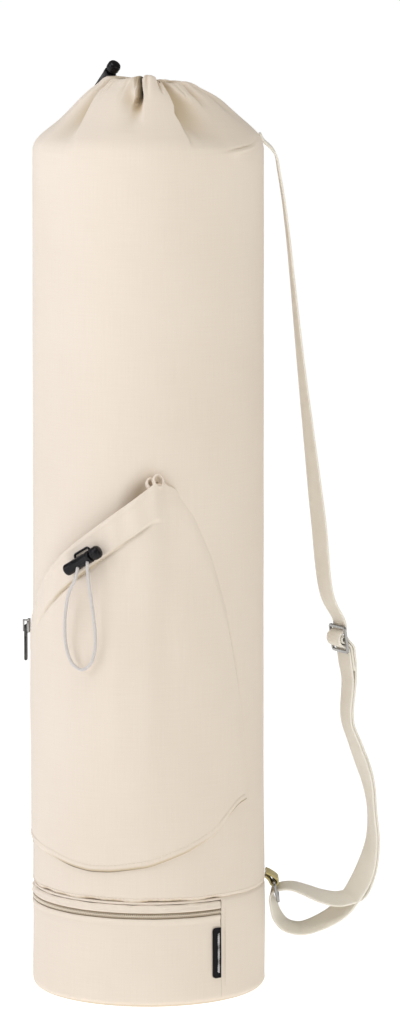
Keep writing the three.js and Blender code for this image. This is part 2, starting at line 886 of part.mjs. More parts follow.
function addPocketLock() {
  const tilt = radians(pocketLockTilt);
  const side = sideways(pocketLockTurn);
  const along = side.clone().multiplyScalar(Math.cos(tilt)).addScaledVector(worldUp, Math.sin(tilt));
  const up = worldUp.clone().multiplyScalar(Math.cos(tilt)).addScaledVector(side, -Math.sin(tilt));
  const lockHeight = pocketHeights(pocketLockTurn).at(-1) - pocketLockDrop;
  const face = pocketFace(pocketLockTurn, lockHeight);
  addLock("pocket", face, along, up, outward(pocketLockTurn));
  const shift = up.clone().multiplyScalar(eyeletOffset).addScaledVector(along, holeShift);
  const turnOff = (shift.dot(side) * THREE.MathUtils.RAD2DEG) / (sideRadius + pocketSwell);
  const eyeletTurn = pocketLockTurn + turnOff;
  const eyeletFace = pocketFace(eyeletTurn, lockHeight + shift.z);
  const normal = outward(eyeletTurn);
  const eyeletAlong = along.clone().addScaledVector(normal, -along.dot(normal)).normalize();
  addEyelet("pocket", eyeletFace, eyeletAlong, normal);
}

addPocketLock();

// The top cord's lock lies up the slope of the gathered top at the back left.
function slopeAt(turn, share) {
  const step = 0.04;
  const at = (up) =>
    around(turn, readTable(domeProfile, "up", "out", up) * shoulderRadius, shoulderHeight + up * domeRise);
  const uphill = new THREE.Vector3().subVectors(at(share + step), at(share - step)).normalize();
  const normal = new THREE.Vector3().crossVectors(sideways(turn), uphill).normalize();
  return { point: at(share), uphill, normal };
}

function addCollarLock() {
  const slope = slopeAt(collarLockTurn, collarLockShare);
  const along = slope.uphill;
  const up = new THREE.Vector3().crossVectors(along, slope.normal);
  addLock("collar", slope.point, along, up, slope.normal);
  const radius = readTable(domeProfile, "up", "out", collarLockShare) * shoulderRadius;
  const turnOff = (up.dot(sideways(collarLockTurn)) * eyeletOffset * THREE.MathUtils.RAD2DEG) / radius;
  const eyeletTurn = collarLockTurn + turnOff;
  const seat = slopeAt(eyeletTurn, collarLockShare + (along.z * holeShift) / domeRise);
  addEyelet("collar", seat.point, seat.uphill, seat.normal);
}

addCollarLock();

// Drawcords, round cords along their routes
function cordAlong(route) {
  const curve = new THREE.CatmullRomCurve3(route.map((point) => new THREE.Vector3(...point)));
  const section = new THREE.Shape();
  section.absarc(0, 0, strandRadius, 0, 2 * Math.PI);
  const steps = Math.min(80, Math.round(curve.getLength() / (2 * cordDiameter)));
  return new THREE.ExtrudeGeometry(section, { steps, curveSegments: 4, extrudePath: curve, bevelEnabled: false });
}

add("pocket_cord", cordAlong(pocketCordRoute), "cord");
add("collar_cord", cordAlong(collarCordRoute), "cord");

// The side zip: tape, coil, slider and pull
function sidePanel(width, bottom, top, inner, outer, columns) {
  const sections = [];
  for (let i = 0; i <= columns; i++) {
    const across = lerp(-width / 2, width / 2, i / columns);
    const turn = sideZipTurn + (across / sideRadius) * THREE.MathUtils.RAD2DEG;
    const row = (out) => [bottom, top].map((height) => around(turn, tubeRadius(height) + out, height));
    sections.push({ outer: row(outer), inner: row(inner) });
  }
  return bodyThrough(sections, false);
}

const tapeOut = seatGap + sideTapeWall;
const sideCoilOut = tapeOut + seatGap + sideCoilHeight;
add("side_zip_tape", sidePanel(sideTapeWidth, sideZipBottom, sideZipTop, seatGap, tapeOut, 2), "zip");

const pullAxisHeight = sideZipTop - sliderBodyLength / 2 - sliderFromEnd;
const pullAxisOut = sideCoilOut + seatGap + sliderBodyHeight + seatGap + pullBar;
const sideSliderBase = sideCoilOut + seatGap;
add(
  "side_zip_coil",
  sidePanel(
    sideCoilWidth,
    sideZipBottom + sideTapeEnd,
    sideZipTop - sideTapeEnd,
    tapeOut + seatGap,
    sideCoilOut,
    1,
  ),
  "zip",
);

// X of the holder is across the zip, Y up it and Z out of the bag. Its origin is the middle of the pull's bar.
const sideHolder = placed(
  around(sideZipTurn, tubeRadius(pullAxisHeight) + pullAxisOut, pullAxisHeight),
  sideways(sideZipTurn),
  worldUp,
  outward(sideZipTurn),
);

function sideSlider() {
  const bodyTop = -pullBar - seatGap;
  const body = plate(roundedOutline(sliderBodyWidth, sliderBodyLength, 2), sliderBodyHeight, 0.4);
  body.translate(0, 0, bodyTop - sliderBodyHeight / 2);
  const inside = pullBar + seatGap;
  const bridge = new THREE.BoxGeometry(bailWidth, bailLength, bailWall);
  bridge.translate(0, 0, inside + bailWall / 2);
  const legHeight = inside + bailWall - bodyTop + 0.5;
  const legs = [-1, 1].map((side) => {
    const leg = new THREE.BoxGeometry(bailWidth, bailWall, legHeight);
    return leg.translate(0, (side * (bailLength - bailWall)) / 2, inside + bailWall - legHeight / 2);
  });
  return join(body, bridge, ...legs);
}

function sidePull() {
  const tabStart = pullWindow + 1.6;
  const legWidth = (pullWidth - pullWindowWidth) / 2;
  const bar = new THREE.CylinderGeometry(pullBar, pullBar, pullWidth, 10).rotateZ(Math.PI / 2);
  const legs = [-1, 1].map((side) => {
    const leg = new THREE.BoxGeometry(legWidth, tabStart, 2 * pullBar);
    return leg.translate((side * (pullWidth - legWidth)) / 2, -tabStart / 2, 0);
  });
  const tabHeight = pullLength - pullWindow;
  const tab = plate(roundedOutline(pullWidth, tabHeight, 2), pullWall, 0.4);
  tab.translate(0, -pullWindow - tabHeight / 2, 0);
  return join(tab, bar, ...legs);
}

add("side_zip_slider", sideSlider(), "metal", sideHolder);
add("side_zip_pull", sidePull(), "metal", sideHolder);

// The label at the lower seam
const labelMiddle = labelBottom + labelHeight / 2;
const labelHolder = placed(
  around(labelTurn, tubeRadius(labelMiddle) + seatGap + labelWall / 2, labelMiddle),
  sideways(labelTurn),
  worldUp,
  outward(labelTurn),
);
add("side_label", plate(roundedOutline(labelWidth, labelHeight, 1.5), labelWall, 0), "label", labelHolder);

// The shoulder strap: one webbing from the gathered top through the slider and the ring, back to the slider
function strapPlace(row) {
  return {
    point: new THREE.Vector3(
      sideRadius + row.out * strapReach,
      strapSet,
      strapFoot + row.up * (shoulderHeight - strapFoot),
    ),
    turn: row.turn,
  };
}

const strapOnDome = [strapEndShare, strapEndShare / 2].map((share) => {
  const slope = slopeAt(90, share);
  const lifted = slope.point.clone().addScaledVector(slope.normal, strapWall / 2 + 2 * seatGap);
  return { point: lifted.setY(strapSet), turn: 0 };
});

// Frame of the slider: down along the strap, across it and out of it
const lean = radians(sliderLean);
const sliderDown = new THREE.Vector3(Math.sin(lean), 0, -Math.cos(lean));
const sliderFlatOut = new THREE.Vector3(Math.cos(lean), 0, Math.sin(lean));
const sliderAcross = turnedEdge(sliderFlatOut, sliderTurn);
const sliderNormal = new THREE.Vector3().crossVectors(sliderDown, sliderAcross).normalize();
const sliderMiddle = strapPlace({ out: sliderOut, up: sliderUp, turn: 0 }).point;

// The direction of the strap's front edge, turned towards its outer face.
function turnedEdge(flatOut, turn) {
  const a = radians(turn);
  return new THREE.Vector3(0, -Math.cos(a), 0).addScaledVector(flatOut, Math.sin(a));
}

function besideSlider(along, out) {
  const point = sliderMiddle.clone().addScaledVector(sliderDown, along);
  return { point: point.addScaledVector(sliderNormal, out), edge: sliderAcross };
}

function atSlider(row) {
  return besideSlider(row.along * sliderLength, row.out * (sliderWall + strapWall));
}

function atRing(row) {
  const x = sideRadius + ringOut + row.out * ringDrop;
  return { point: new THREE.Vector3(x, strapSet, ringHeight + row.up * ringDrop), turn: row.turn };
}

// Gives each place its direction along the path, and from its turn the direction of its front edge.
function withEdges(places) {
  return places.map((place, i) => {
    const before = places[Math.max(i - 1, 0)].point;
    const after = places[Math.min(i + 1, places.length - 1)].point;
    const along = new THREE.Vector3().subVectors(after, before).normalize();
    const flatOut = new THREE.Vector3(-along.z, 0, along.x).normalize();
    return { point: place.point, along, edge: place.edge ?? turnedEdge(flatOut, place.turn) };
  });
}

function shiftedInwards(place, distance) {
  const out = new THREE.Vector3().crossVectors(place.along, place.edge).normalize();
  return { point: place.point.clone().addScaledVector(out, -distance), edge: place.edge };
}

const layerPitch = strapWall + layerGap;

// A place on the straight run under the slider, this many layers inside the strap that comes down.
function underSlider(along, layers) {
  return besideSlider(along, throughSlider.at(-1).out * (sliderWall + strapWall) - layers * layerPitch);
}

function strapPlaces() {
  const running = withEdges([
    ...strapOnDome,
    ...strapHang.map(strapPlace),
    ...throughSlider.map(atSlider),
    underSlider(foldStart, 0),
    underSlider(sewnTail + foldSpare, 0),
    ...strapLoop.map(strapPlace),
    ...strapUnder.map(strapPlace),
    ...strapThroughRing.map(atRing),
    ...strapBack.map(strapPlace),
  ]);
  const loopEnd = running.length - strapBack.length - strapThroughRing.length - strapUnder.length;
  const besides = running.slice(loopEnd - strapLoop.length, loopEnd).reverse();
  return withEdges([
    ...running,
    ...besides.map((place) => shiftedInwards(place, layerPitch)),
    underSlider(sewnTail + foldSpare, 1.2),
    underSlider(foldStart, 2),
    underSlider(tailStart, 2),
    ...aroundSliderBar.map(atSlider),
    underSlider(tailStart, 1),
    underSlider(foldStart, 1),
    underSlider(sewnTail - foldSpare, 1),
  ]);
}

// Sections across the strap, mitred where its path bends.
function strapSections() {
  const places = strapPlaces();
  return places.map((place, i) => {
    const before = places[Math.max(i - 1, 0)].point;
    const after = places[Math.min(i + 1, places.length - 1)].point;
    const arriving = new THREE.Vector3().subVectors(place.point, before);
    const leaving = new THREE.Vector3().subVectors(after, place.point);
    const first = arriving.lengthSq() > 0 ? arriving.normalize() : leaving.clone().normalize();
    const second = leaving.lengthSq() > 0 ? leaving.normalize() : first;
    const along = new THREE.Vector3().addVectors(first, second).normalize();
    const thick = new THREE.Vector3().crossVectors(along, place.edge).normalize();
    thick.multiplyScalar(strapWall / 2 / Math.max(0.75, along.dot(first)));
    const corner = (edge, face) =>
      place.point.clone().addScaledVector(place.edge, (edge * strapWidth) / 2).addScaledVector(thick, face);
    return { outer: [corner(-1, 1), corner(1, 1)], inner: [corner(-1, -1), corner(1, -1)] };
  });
}

add("shoulder_strap", bodyThrough(strapSections(), false), "webbing");

// The slider: a frame with two windows and a middle bar
const windowWidth = strapWidth + 1.4;
const sliderFacing = new THREE.Vector3().crossVectors(sliderAcross, sliderDown);
const sliderHolder = placed(sliderMiddle, sliderAcross, sliderDown, sliderFacing);
const sliderShape = roundedOutline(windowWidth + 2 * sliderSide, sliderLength, 3);
for (const side of [-1, 1]) {
  const near = (side * sliderBar) / 2;
  const far = side * (sliderLength / 2 - sliderBar);
  sliderShape.holes.push(boxHole(-windowWidth / 2, Math.min(near, far), windowWidth / 2, Math.max(near, far)));
}
add("strap_slider", plate(sliderShape, sliderWall, 0.4), "metal", sliderHolder);

// The ring hangs by its upper bar in the tab.
const ringTop = new THREE.Vector3(sideRadius + ringOut, strapSet, ringHeight);
const ringTurn = radians(ringLean);
const ringDown = new THREE.Vector3(Math.sin(ringTurn), 0, -Math.cos(ringTurn));
const ringAcross = new THREE.Vector3(0, -1, 0);
const ringMiddle = ringTop.clone().addScaledVector(ringDown, ringDrop / 2);
const ringFacing = new THREE.Vector3().crossVectors(ringAcross, ringDown);
const ringHolder = placed(ringMiddle, ringAcross, ringDown, ringFacing);
const ringWindow = strapWidth + 2;
const ringShape = roundedOutline(ringWindow + 2 * ringBar, ringDrop + ringBar, 3);
const ringHalf = (ringDrop - ringBar) / 2;
ringShape.holes.push(boxHole(-ringWindow / 2, -ringHalf, ringWindow / 2, ringHalf));
add("strap_ring", plate(ringShape, ringWall, 0.5), "metal", ringHolder);

// The tab: webbing from the bag's side, round the ring's upper bar and back
function ringTab() {
  const reach = Math.hypot(ringBar, ringWall) / 2 + seatGap + tabWall / 2;
  const wallOut = sideRadius + seatGap + tabWall / 2 + tabLift;
  const top = ringHeight + tabAboveRing;
  const places = [{ x: wallOut, z: top }];
  places.push({ x: lerp(wallOut, ringTop.x, 0.5), z: top - 0.44 * tabBelowTop });
  for (const angle of [50, 5, -45, -95, -145]) {
    places.push({
      x: ringTop.x + reach * Math.cos(radians(angle)),
      z: ringTop.z + reach * Math.sin(radians(angle)),
    });
  }
  places.push({ x: lerp(wallOut, ringTop.x, 0.35), z: top - 1.69 * tabBelowTop });
  places.push({ x: wallOut, z: top - tabBelowTop });
  const points = places.map((place) => new THREE.Vector3(place.x, strapSet, place.z));
  const edge = new THREE.Vector3(0, -1, 0);
  const sections = points.map((point, i) => {
    const before = points[Math.max(i - 1, 0)];
    const after = points[Math.min(i + 1, points.length - 1)];
    const along = new THREE.Vector3().subVectors(after, before).normalize();
    const thick = new THREE.Vector3().crossVectors(along, edge).multiplyScalar(tabWall / 2);
    const corner = (side, face) =>
      point.clone().addScaledVector(edge, (side * tabWidth) / 2).addScaledVector(thick, face);
    return { outer: [corner(-1, 1), corner(1, 1)], inner: [corner(-1, -1), corner(1, -1)] };
  });
  return bodyThrough(sections, false);
}

add("ring_tab", ringTab(), "olive");

export default group;
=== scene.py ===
"""A yoga mat bag of cream canvas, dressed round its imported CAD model.

Metres throughout. +Z is up, -Y is the front, and the origin is the centre of the underside.
A turn is an angle round the bag in degrees, 0 at the front and growing to the right.
"""

import math

import bpy
import numpy as np
from mathutils import Matrix, Vector


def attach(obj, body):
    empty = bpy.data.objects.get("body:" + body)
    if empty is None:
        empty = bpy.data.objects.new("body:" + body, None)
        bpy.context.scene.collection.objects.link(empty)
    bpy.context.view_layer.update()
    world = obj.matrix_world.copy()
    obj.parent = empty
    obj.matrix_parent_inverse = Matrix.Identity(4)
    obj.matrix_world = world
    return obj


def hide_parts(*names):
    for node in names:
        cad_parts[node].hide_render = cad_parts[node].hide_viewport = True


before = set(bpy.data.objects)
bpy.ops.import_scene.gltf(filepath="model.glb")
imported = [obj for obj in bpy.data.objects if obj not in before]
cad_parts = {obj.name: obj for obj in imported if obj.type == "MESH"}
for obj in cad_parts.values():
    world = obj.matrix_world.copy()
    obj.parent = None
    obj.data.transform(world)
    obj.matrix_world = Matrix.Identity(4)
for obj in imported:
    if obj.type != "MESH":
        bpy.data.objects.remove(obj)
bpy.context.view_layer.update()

# The camera stands far in front, level with the top of the bag, and looks a little down through a long
# lens, so that upright edges stay almost parallel.
bpy.ops.object.select_all(action="DESELECT")
camera_data = bpy.data.cameras.new("camera")
camera_data.lens = 192.6
camera_data.sensor_width = 36
camera_data.clip_end = 100
camera = bpy.data.objects.new("camera", camera_data)
bpy.context.scene.collection.objects.link(camera)
camera.location = (0.0406, -4.3, 0.9852)
camera.rotation_euler = (math.radians(90 - 8.08), 0, 0)
bpy.context.scene.camera = camera

# White studio light: a large soft lamp at the front left, a weaker one at the right, and an even white
# surround.
world = bpy.data.worlds.new("surround")
world.use_nodes = True
world.node_tree.nodes["Background"].inputs["Color"].default_value = (1, 1, 1, 1)
world.node_tree.nodes["Background"].inputs["Strength"].default_value = 0.22
bpy.context.scene.world = world
bpy.context.scene.view_settings.view_transform = "Standard"
for name, place, aim, size, power, colour in [
    ("key_lamp", (-3.05, -1.25, 1.9), (0, 0, 0.4), 2.6, 47, (0.97, 1, 1.1)),
    ("fill_lamp", (2.4, -2.2, 1.3), (0, 0, 0.35), 2.6, 21, (1, 0.975, 0.9)),
    ("top_lamp", (-0.5, -1.1, 3.5), (0, 0, 0.6), 2.0, 40, (1, 0.985, 0.95)),
]:
    lamp_data = bpy.data.lights.new(name, "AREA")
    lamp_data.shape = "DISK"
    lamp_data.size = size
    lamp_data.energy = power
    lamp_data.color = colour
    lamp = bpy.data.objects.new(name, lamp_data)
    bpy.context.scene.collection.objects.link(lamp)
    lamp.location = place
    lamp.rotation_euler = (Vector(aim) - Vector(place)).to_track_quat("-Z", "Y").to_euler()


# The two drawcords are round braided cord, 2.5 mm thick. Each comes out of an eyelet, goes through both
# holes of its cord lock, hangs in a loop, and goes back in.
class Flow:
    """A value on its way through a material's nodes. Arithmetic on it adds Math nodes."""

    def __init__(self, tree, socket):
        self.tree = tree
        self.socket = socket

    def node(self, kind, settings=None, values=None, out=0):
        made = self.tree.nodes.new(kind)
        for key, value in (settings or {}).items():
            if key != "stops":
                setattr(made, key, value)
                continue
            stops = made.color_ramp.elements
            while len(stops) < len(value):
                stops.new(0.5)
            for stop, (place, colour) in zip(stops, value):
                stop.position = place
                stop.color = (*colour, 1)
        for key, value in (values or {}).items():
            if isinstance(value, Flow):
                self.tree.links.new(value.socket, made.inputs[key])
            else:
                made.inputs[key].default_value = value
        return Flow(self.tree, made.outputs[out])

    def maths(self, operation, *others):
        return self.node("ShaderNodeMath", {"operation": operation}, dict(enumerate((self, *others))))

    def __add__(self, other):
        return self.maths("ADD", other)

    def __sub__(self, other):
        return self.maths("SUBTRACT", other)

    def __mul__(self, other):
        return self.maths("MULTIPLY", other)

    def __truediv__(self, other):
        return self.maths("DIVIDE", other)

    def __pow__(self, other):
        return self.maths("POWER", other)

    def __rsub__(self, other):
        return self * -1 + other

    def __rtruediv__(self, other):
        return self**-1 * other

    __radd__ = __add__
    __rmul__ = __mul__

    def between(self, low, high):
        """0 below low, 1 above high, and smooth between them."""
        settings = {"interpolation_type": "SMOOTHSTEP"}
        return self.node("ShaderNodeMapRange", settings, {"Value": self, "From Min": low, "From Max": high})

    def blend(self, first, second):
        """A colour between two, by this share."""
        return self.node("ShaderNodeMix", {"data_type": "RGBA"}, {0: self, 6: first, 7: second}, 2)

    def noise(self, scale, detail=2.0, stretch=(1, 1, 1)):
        """Noise from 0 to 1 at this place, with scale spots to the metre."""
        scaled = self.node("ShaderNodeVectorMath", {"operation": "MULTIPLY"}, {0: self, 1: stretch})
        return self.node("ShaderNodeTexNoise", {}, {"Vector": scaled, "Scale": scale, "Detail": detail})


class Finish:
    """A material with one Principled shader, and the places that its patterns are read from."""

    def __init__(self, name, colour, roughness, **fixed):
        self.material = bpy.data.materials.new(name)
        self.material.use_nodes = True
        self.tree = self.material.node_tree
        self.shader = self.tree.nodes["Principled BSDF"]
        self.shader.inputs["Base Color"].default_value = (*colour, 1)
        self.shader.inputs["Roughness"].default_value = roughness
        for key, value in fixed.items():
            self.shader.inputs[key.replace("_", " ")].default_value = value
        start = Flow(self.tree, None)
        self.place = start.node("ShaderNodeTexCoord", out=3)
        self.cloth = start.node("ShaderNodeUVMap", {"uv_map": "cloth"})
        self.along = self.cloth.node("ShaderNodeSeparateXYZ", values={0: self.cloth}, out=0)
        self.across = self.cloth.node("ShaderNodeSeparateXYZ", values={0: self.cloth}, out=1)

    def feed(self, name, value):
        self.tree.links.new(value.socket, self.shader.inputs[name])

    def bump(self, height, strength, depth):
        values = {"Height": height, "Strength": strength, "Distance": depth}
        self.feed("Normal", height.node("ShaderNodeBump", values=values))


def smooth_path(points, step):
    """Points a step apart on a smooth curve through the given ones."""
    given = np.asarray(points, float)
    ends = np.vstack([2 * given[0] - given[1], given, 2 * given[-1] - given[-2]])
    fine = []
    for a, b, c, d in zip(ends, ends[1:], ends[2:], ends[3:]):
        gaps = [np.linalg.norm(q[:3] - p[:3]) for p, q in ((a, b), (b, c), (c, d))]
        knots = np.cumsum([0, *(max(gap, 1e-7) ** 0.5 for gap in gaps)])
        for t in np.linspace(knots[1], knots[2], 12, endpoint=False):
            ab = a + (b - a) * (t - knots[0]) / (knots[1] - knots[0])
            bc = b + (c - b) * (t - knots[1]) / (knots[2] - knots[1])
            cd = c + (d - c) * (t - knots[2]) / (knots[3] - knots[2])
            abc = ab + (bc - ab) * (t - knots[0]) / (knots[2] - knots[0])
            bcd = bc + (cd - bc) * (t - knots[1]) / (knots[3] - knots[1])
            fine.append(abc + (bcd - abc) * (t - knots[1]) / (knots[2] - knots[1]))
    fine = np.array([*fine, given[-1]])
    run = np.append(0, np.cumsum(np.linalg.norm(np.diff(fine[:, :3], axis=0), axis=1)))
    count = max(2, round(run[-1] / step))
    places = np.linspace(0, run[-1], count + 1)
    return np.stack([np.interp(places, run, column) for column in fine.T], axis=1)


def mesh_piece(name, points, faces, corners=None):
    """A new object from points and faces, with its cloth map in metres where the corners are given."""
    mesh = bpy.data.meshes.new(name)
    mesh.from_pydata([tuple(map(float, p)) for p in points], [], [tuple(map(int, f)) for f in faces])
    if corners is not None:
        cloth = mesh.uv_layers.new(name="cloth")
        cloth.data.foreach_set("uv", np.asarray(corners, np.float32).ravel())
    mesh.update()
    piece = bpy.data.objects.new(name, mesh)
    bpy.context.scene.collection.objects.link(piece)
    return piece


def grid_piece(name, rows, spread, round_rows=False, round_columns=False):
    """A sheet from a grid of points. spread gives each grid point its place on the flat cloth, with one
    extra row or column where the grid closes on itself."""
    count, across = rows.shape[:2]
    down = np.arange(count if round_rows else count - 1)
    over = np.arange(across if round_columns else across - 1)
    i, j = (a.ravel() for a in np.meshgrid(down, over, indexing="ij"))
    ring = np.stack([i, j, i, j + 1, i + 1, j + 1, i + 1, j], axis=1).reshape(-1, 4, 2)
    faces = (ring[..., 0] % count) * across + ring[..., 1] % across
    return mesh_piece(name, rows.reshape(-1, 3), faces, spread[ring[..., 0], ring[..., 1]].reshape(-1, 2))


def picked(piece):
    """Selects one piece alone and makes it the active one."""
    bpy.ops.object.select_all(action="DESELECT")
    piece.select_set(True)
    bpy.context.view_layer.objects.active = piece


def faced_out(piece, merge=False, ends=False):
    """Turns all faces outwards, where asked after doubled points are merged or open ends are closed."""
    picked(piece)
    bpy.ops.object.mode_set(mode="EDIT")
    if merge:
        bpy.ops.mesh.select_all(action="SELECT")
        bpy.ops.mesh.remove_doubles(threshold=1e-6)
    if ends:
        bpy.ops.mesh.select_all(action="DESELECT")
        bpy.ops.mesh.select_non_manifold(extend=False, use_wire=False, use_multi_face=False, use_verts=False)
        bpy.ops.mesh.edge_face_add()
    bpy.ops.mesh.select_all(action="SELECT")
    bpy.ops.mesh.normals_make_consistent(inside=False)
    bpy.ops.object.mode_set(mode="OBJECT")


def finish_piece(piece, finish, slot, *nodes, body="root", angle=None):
    """Gives a piece its finish, smooth shading and its body, and hides the CAD nodes that it stands for."""
    piece.data.materials.clear()
    piece.data.materials.append(finish.material)
    picked(piece)
    if angle is None:
        bpy.ops.object.shade_smooth()
    else:
        bpy.ops.object.shade_smooth_by_angle(angle=math.radians(angle))
    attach(piece, body)
    if nodes:
        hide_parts(*nodes)


def round_cord(name, path, radius, sides):
    """A tube along a path, closed at both ends."""
    steps = np.gradient(path, axis=0)
    steps /= np.linalg.norm(steps, axis=1)[:, None]
    side = np.cross(steps[0], (0.3, 0.9, 0.2))
    rows = []
    for place, step in zip(path, steps):
        side -= step * (side @ step)
        side /= np.linalg.norm(side)
        other = np.cross(step, side)
        angles = np.arange(sides) * 2 * math.pi / sides
        rows.append(place + radius * (np.cos(angles)[:, None] * side + np.sin(angles)[:, None] * other))
    rows = np.array([np.repeat(path[:1], sides, 0), *rows, np.repeat(path[-1:], sides, 0)])
    run = np.cumsum([0, 0, *np.linalg.norm(np.diff(path, axis=0), axis=1), 0])
    u, v = np.meshgrid(run, np.linspace(0, 1, sides + 1), indexing="ij")
    piece = grid_piece(name, rows, np.stack([u, v], axis=2), round_columns=True)
    faced_out(piece, merge=True)
    return piece


cord_finish = Finish("braided_cord", (0.565, 0.545, 0.53), 0.62, Sheen_Weight=0.25)
turns = cord_finish.across * (math.pi * 8)
run = cord_finish.along * (math.pi / 0.0021)
strands = ((run + turns).maths("SINE") * (run - turns).maths("SINE")).maths("ABSOLUTE")
cord_finish.bump(strands**0.6, 0.55, 0.0004)
# Painted shade in the braid: the cord is darker in the grooves between strands, over tone that varies at
# random.
thread_shade = cord_finish.place.noise(900, 1.0) * 0.5 + strands * 0.5
tone = thread_shade.between(0.1, 0.8)
cord_finish.feed("Base Color", tone.blend((0.54, 0.5, 0.475, 1), (0.76, 0.72, 0.69, 1)))

cord_diameter = 0.0025
pocket_route = [
    (-0.0537, -0.0918, 0.3543), (-0.0537, -0.0945, 0.352), (-0.0536, -0.0973, 0.3497),
    (-0.0538, -0.1003, 0.3467), (-0.0545, -0.1018, 0.3432), (-0.0557, -0.1018, 0.3393),
    (-0.059, -0.097, 0.3323), (-0.0614, -0.0929, 0.3246), (-0.0628, -0.0909, 0.3157),
    (-0.0637, -0.0892, 0.3068), (-0.0639, -0.0878, 0.2977), (-0.0633, -0.0871, 0.2886),
    (-0.0615, -0.0873, 0.2797), (-0.0576, -0.089, 0.2716), (-0.0506, -0.0926, 0.2678),
    (-0.0441, -0.0961, 0.2727), (-0.0411, -0.0983, 0.2811), (-0.0401, -0.0998, 0.29),
    (-0.0403, -0.1009, 0.2991), (-0.0411, -0.1018, 0.3082), (-0.0422, -0.1026, 0.3173),
    (-0.0434, -0.1038, 0.3263), (-0.0446, -0.1055, 0.3352), (-0.0456, -0.1066, 0.3442),
    (-0.0459, -0.106, 0.3482), (-0.046, -0.1044, 0.3518), (-0.0461, -0.1015, 0.3548),
    (-0.0462, -0.0987, 0.3571), (-0.0462, -0.0959, 0.3594),
]  # fmt: skip
collar_route = [
    (-0.0324, 0.033, 0.7169), (-0.0315, 0.036, 0.7185), (-0.0305, 0.039, 0.7203),
    (-0.0294, 0.0427, 0.7215), (-0.0283, 0.0464, 0.7209), (-0.0271, 0.0498, 0.7189),
    (-0.0246, 0.0547, 0.7145), (-0.0219, 0.0594, 0.7099), (-0.0196, 0.0636, 0.7048),
    (-0.018, 0.0669, 0.6987), (-0.0172, 0.0705, 0.6927), (-0.0171, 0.0751, 0.6874),
    (-0.0181, 0.0799, 0.6823), (-0.0209, 0.0839, 0.6772), (-0.0264, 0.0853, 0.6733),
    (-0.0329, 0.0832, 0.673), (-0.0368, 0.0788, 0.6766), (-0.0374, 0.0739, 0.6816),
    (-0.0371, 0.0699, 0.6874), (-0.0366, 0.0665, 0.6935), (-0.0356, 0.0629, 0.6996),
    (-0.0342, 0.0592, 0.7055), (-0.0333, 0.0551, 0.7111), (-0.0334, 0.0519, 0.7135),
    (-0.034, 0.0481, 0.7144), (-0.035, 0.0444, 0.7131), (-0.036, 0.0414, 0.7114),
    (-0.037, 0.0384, 0.7097),
]  # fmt: skip
drawcords = {}
for name, route in [("pocket", pocket_route), ("collar", collar_route)]:
    line = smooth_path(route, 0.0012)
    drawcords[name] = round_cord(name + "_drawcord", line, cord_diameter / 2, 16), line
    finish_piece(drawcords[name][0], cord_finish, "cord", name + "_cord")

# Each cord lock is black plastic with a soft gloss: a barrel with two cross holes, and a sprung button in
# it. Each eyelet is an oblong black ring that both strands come out of.
gloss_black = Finish("gloss_black_plastic", (0.005, 0.0042, 0.0055), 0.24, Specular_IOR_Level=0.22)
handled = gloss_black.place.noise(260, 3.0)
gloss_black.feed("Roughness", handled.between(0.3, 0.75) * 0.16 + 0.22)
gloss_black.bump(gloss_black.place.noise(900, 2.0), 0.08, 0.0002)


def spun_piece(name, profile):
    """A body turned round the X axis from a profile of (along, radius) places."""
    points = [(along, 0, radius) for along, radius in profile]
    mesh = bpy.data.meshes.new(name)
    mesh.from_pydata(points, [(i, i + 1) for i in range(len(points) - 1)], [])
    piece = bpy.data.objects.new(name, mesh)
    bpy.context.scene.collection.objects.link(piece)
    picked(piece)
    bpy.ops.object.mode_set(mode="EDIT")
    bpy.ops.mesh.select_all(action="SELECT")
    bpy.ops.mesh.spin(steps=64, angle=2 * math.pi, center=(0, 0, 0), axis=(1, 0, 0))
    bpy.ops.object.mode_set(mode="OBJECT")
    faced_out(piece, merge=True)
    return piece


def modified(piece, kind, **settings):
    """Puts a modifier on a piece and applies it."""
    picked(piece)
    modifier = piece.modifiers.new(kind.lower(), kind)
    for key, value in settings.items():
        setattr(modifier, key, value)
    bpy.ops.object.modifier_apply(modifier=modifier.name)


def cut_away(piece, *tools):
    """Cuts the tools out of a piece and deletes them."""
    for tool in tools:
        modified(piece, "BOOLEAN", operation="DIFFERENCE", solver="EXACT", object=tool)
        bpy.data.objects.remove(tool)


def copied_to(piece, name, origin, along, up):
    """A copy with its own mesh, its X axis turned to along and its Z axis to up."""
    copy = bpy.data.objects.new(name, piece.data.copy())
    bpy.context.scene.collection.objects.link(copy)
    x, z = Vector(along).normalized(), Vector(up).normalized()
    turned = Matrix((x, z.cross(x), z)).transposed().to_4x4()
    copy.data.transform(Matrix.Translation(Vector(origin)) @ turned)
    return copy


lock_half, lock_radius, bore = 0.013, 0.0047, 0.0033
barrel = spun_piece(
    "barrel",
    [
        (-lock_half, 0), (-lock_half, 0.0026), (-lock_half + 0.00025, 0.0037),
        (-lock_half + 0.0009, 0.0044), (-lock_half + 0.002, lock_radius),
        (-lock_half + 0.0025, lock_radius), (lock_half - 0.0031, lock_radius),
        (lock_half - 0.0028, lock_radius + 0.0002), (lock_half - 0.0004, lock_radius + 0.0002),
        (lock_half, lock_radius - 0.0002), (lock_half, bore), (-lock_half + 0.0013, bore),
        (-lock_half + 0.0013, 0),
    ],
)  # fmt: skip
holes_middle, strand_spread, hole_radius = 0.0043, 0.005, 0.00172
holes = []
for side in (-1, 1):
    bpy.ops.object.select_all(action="DESELECT")
    place = (holes_middle + side * strand_spread, 0, 0)
    bpy.ops.mesh.primitive_cylinder_add(vertices=32, radius=hole_radius, depth=0.016, location=place)
    holes.append(bpy.context.object)
cut_away(barrel, *holes)
head_start = lock_half + 0.0026
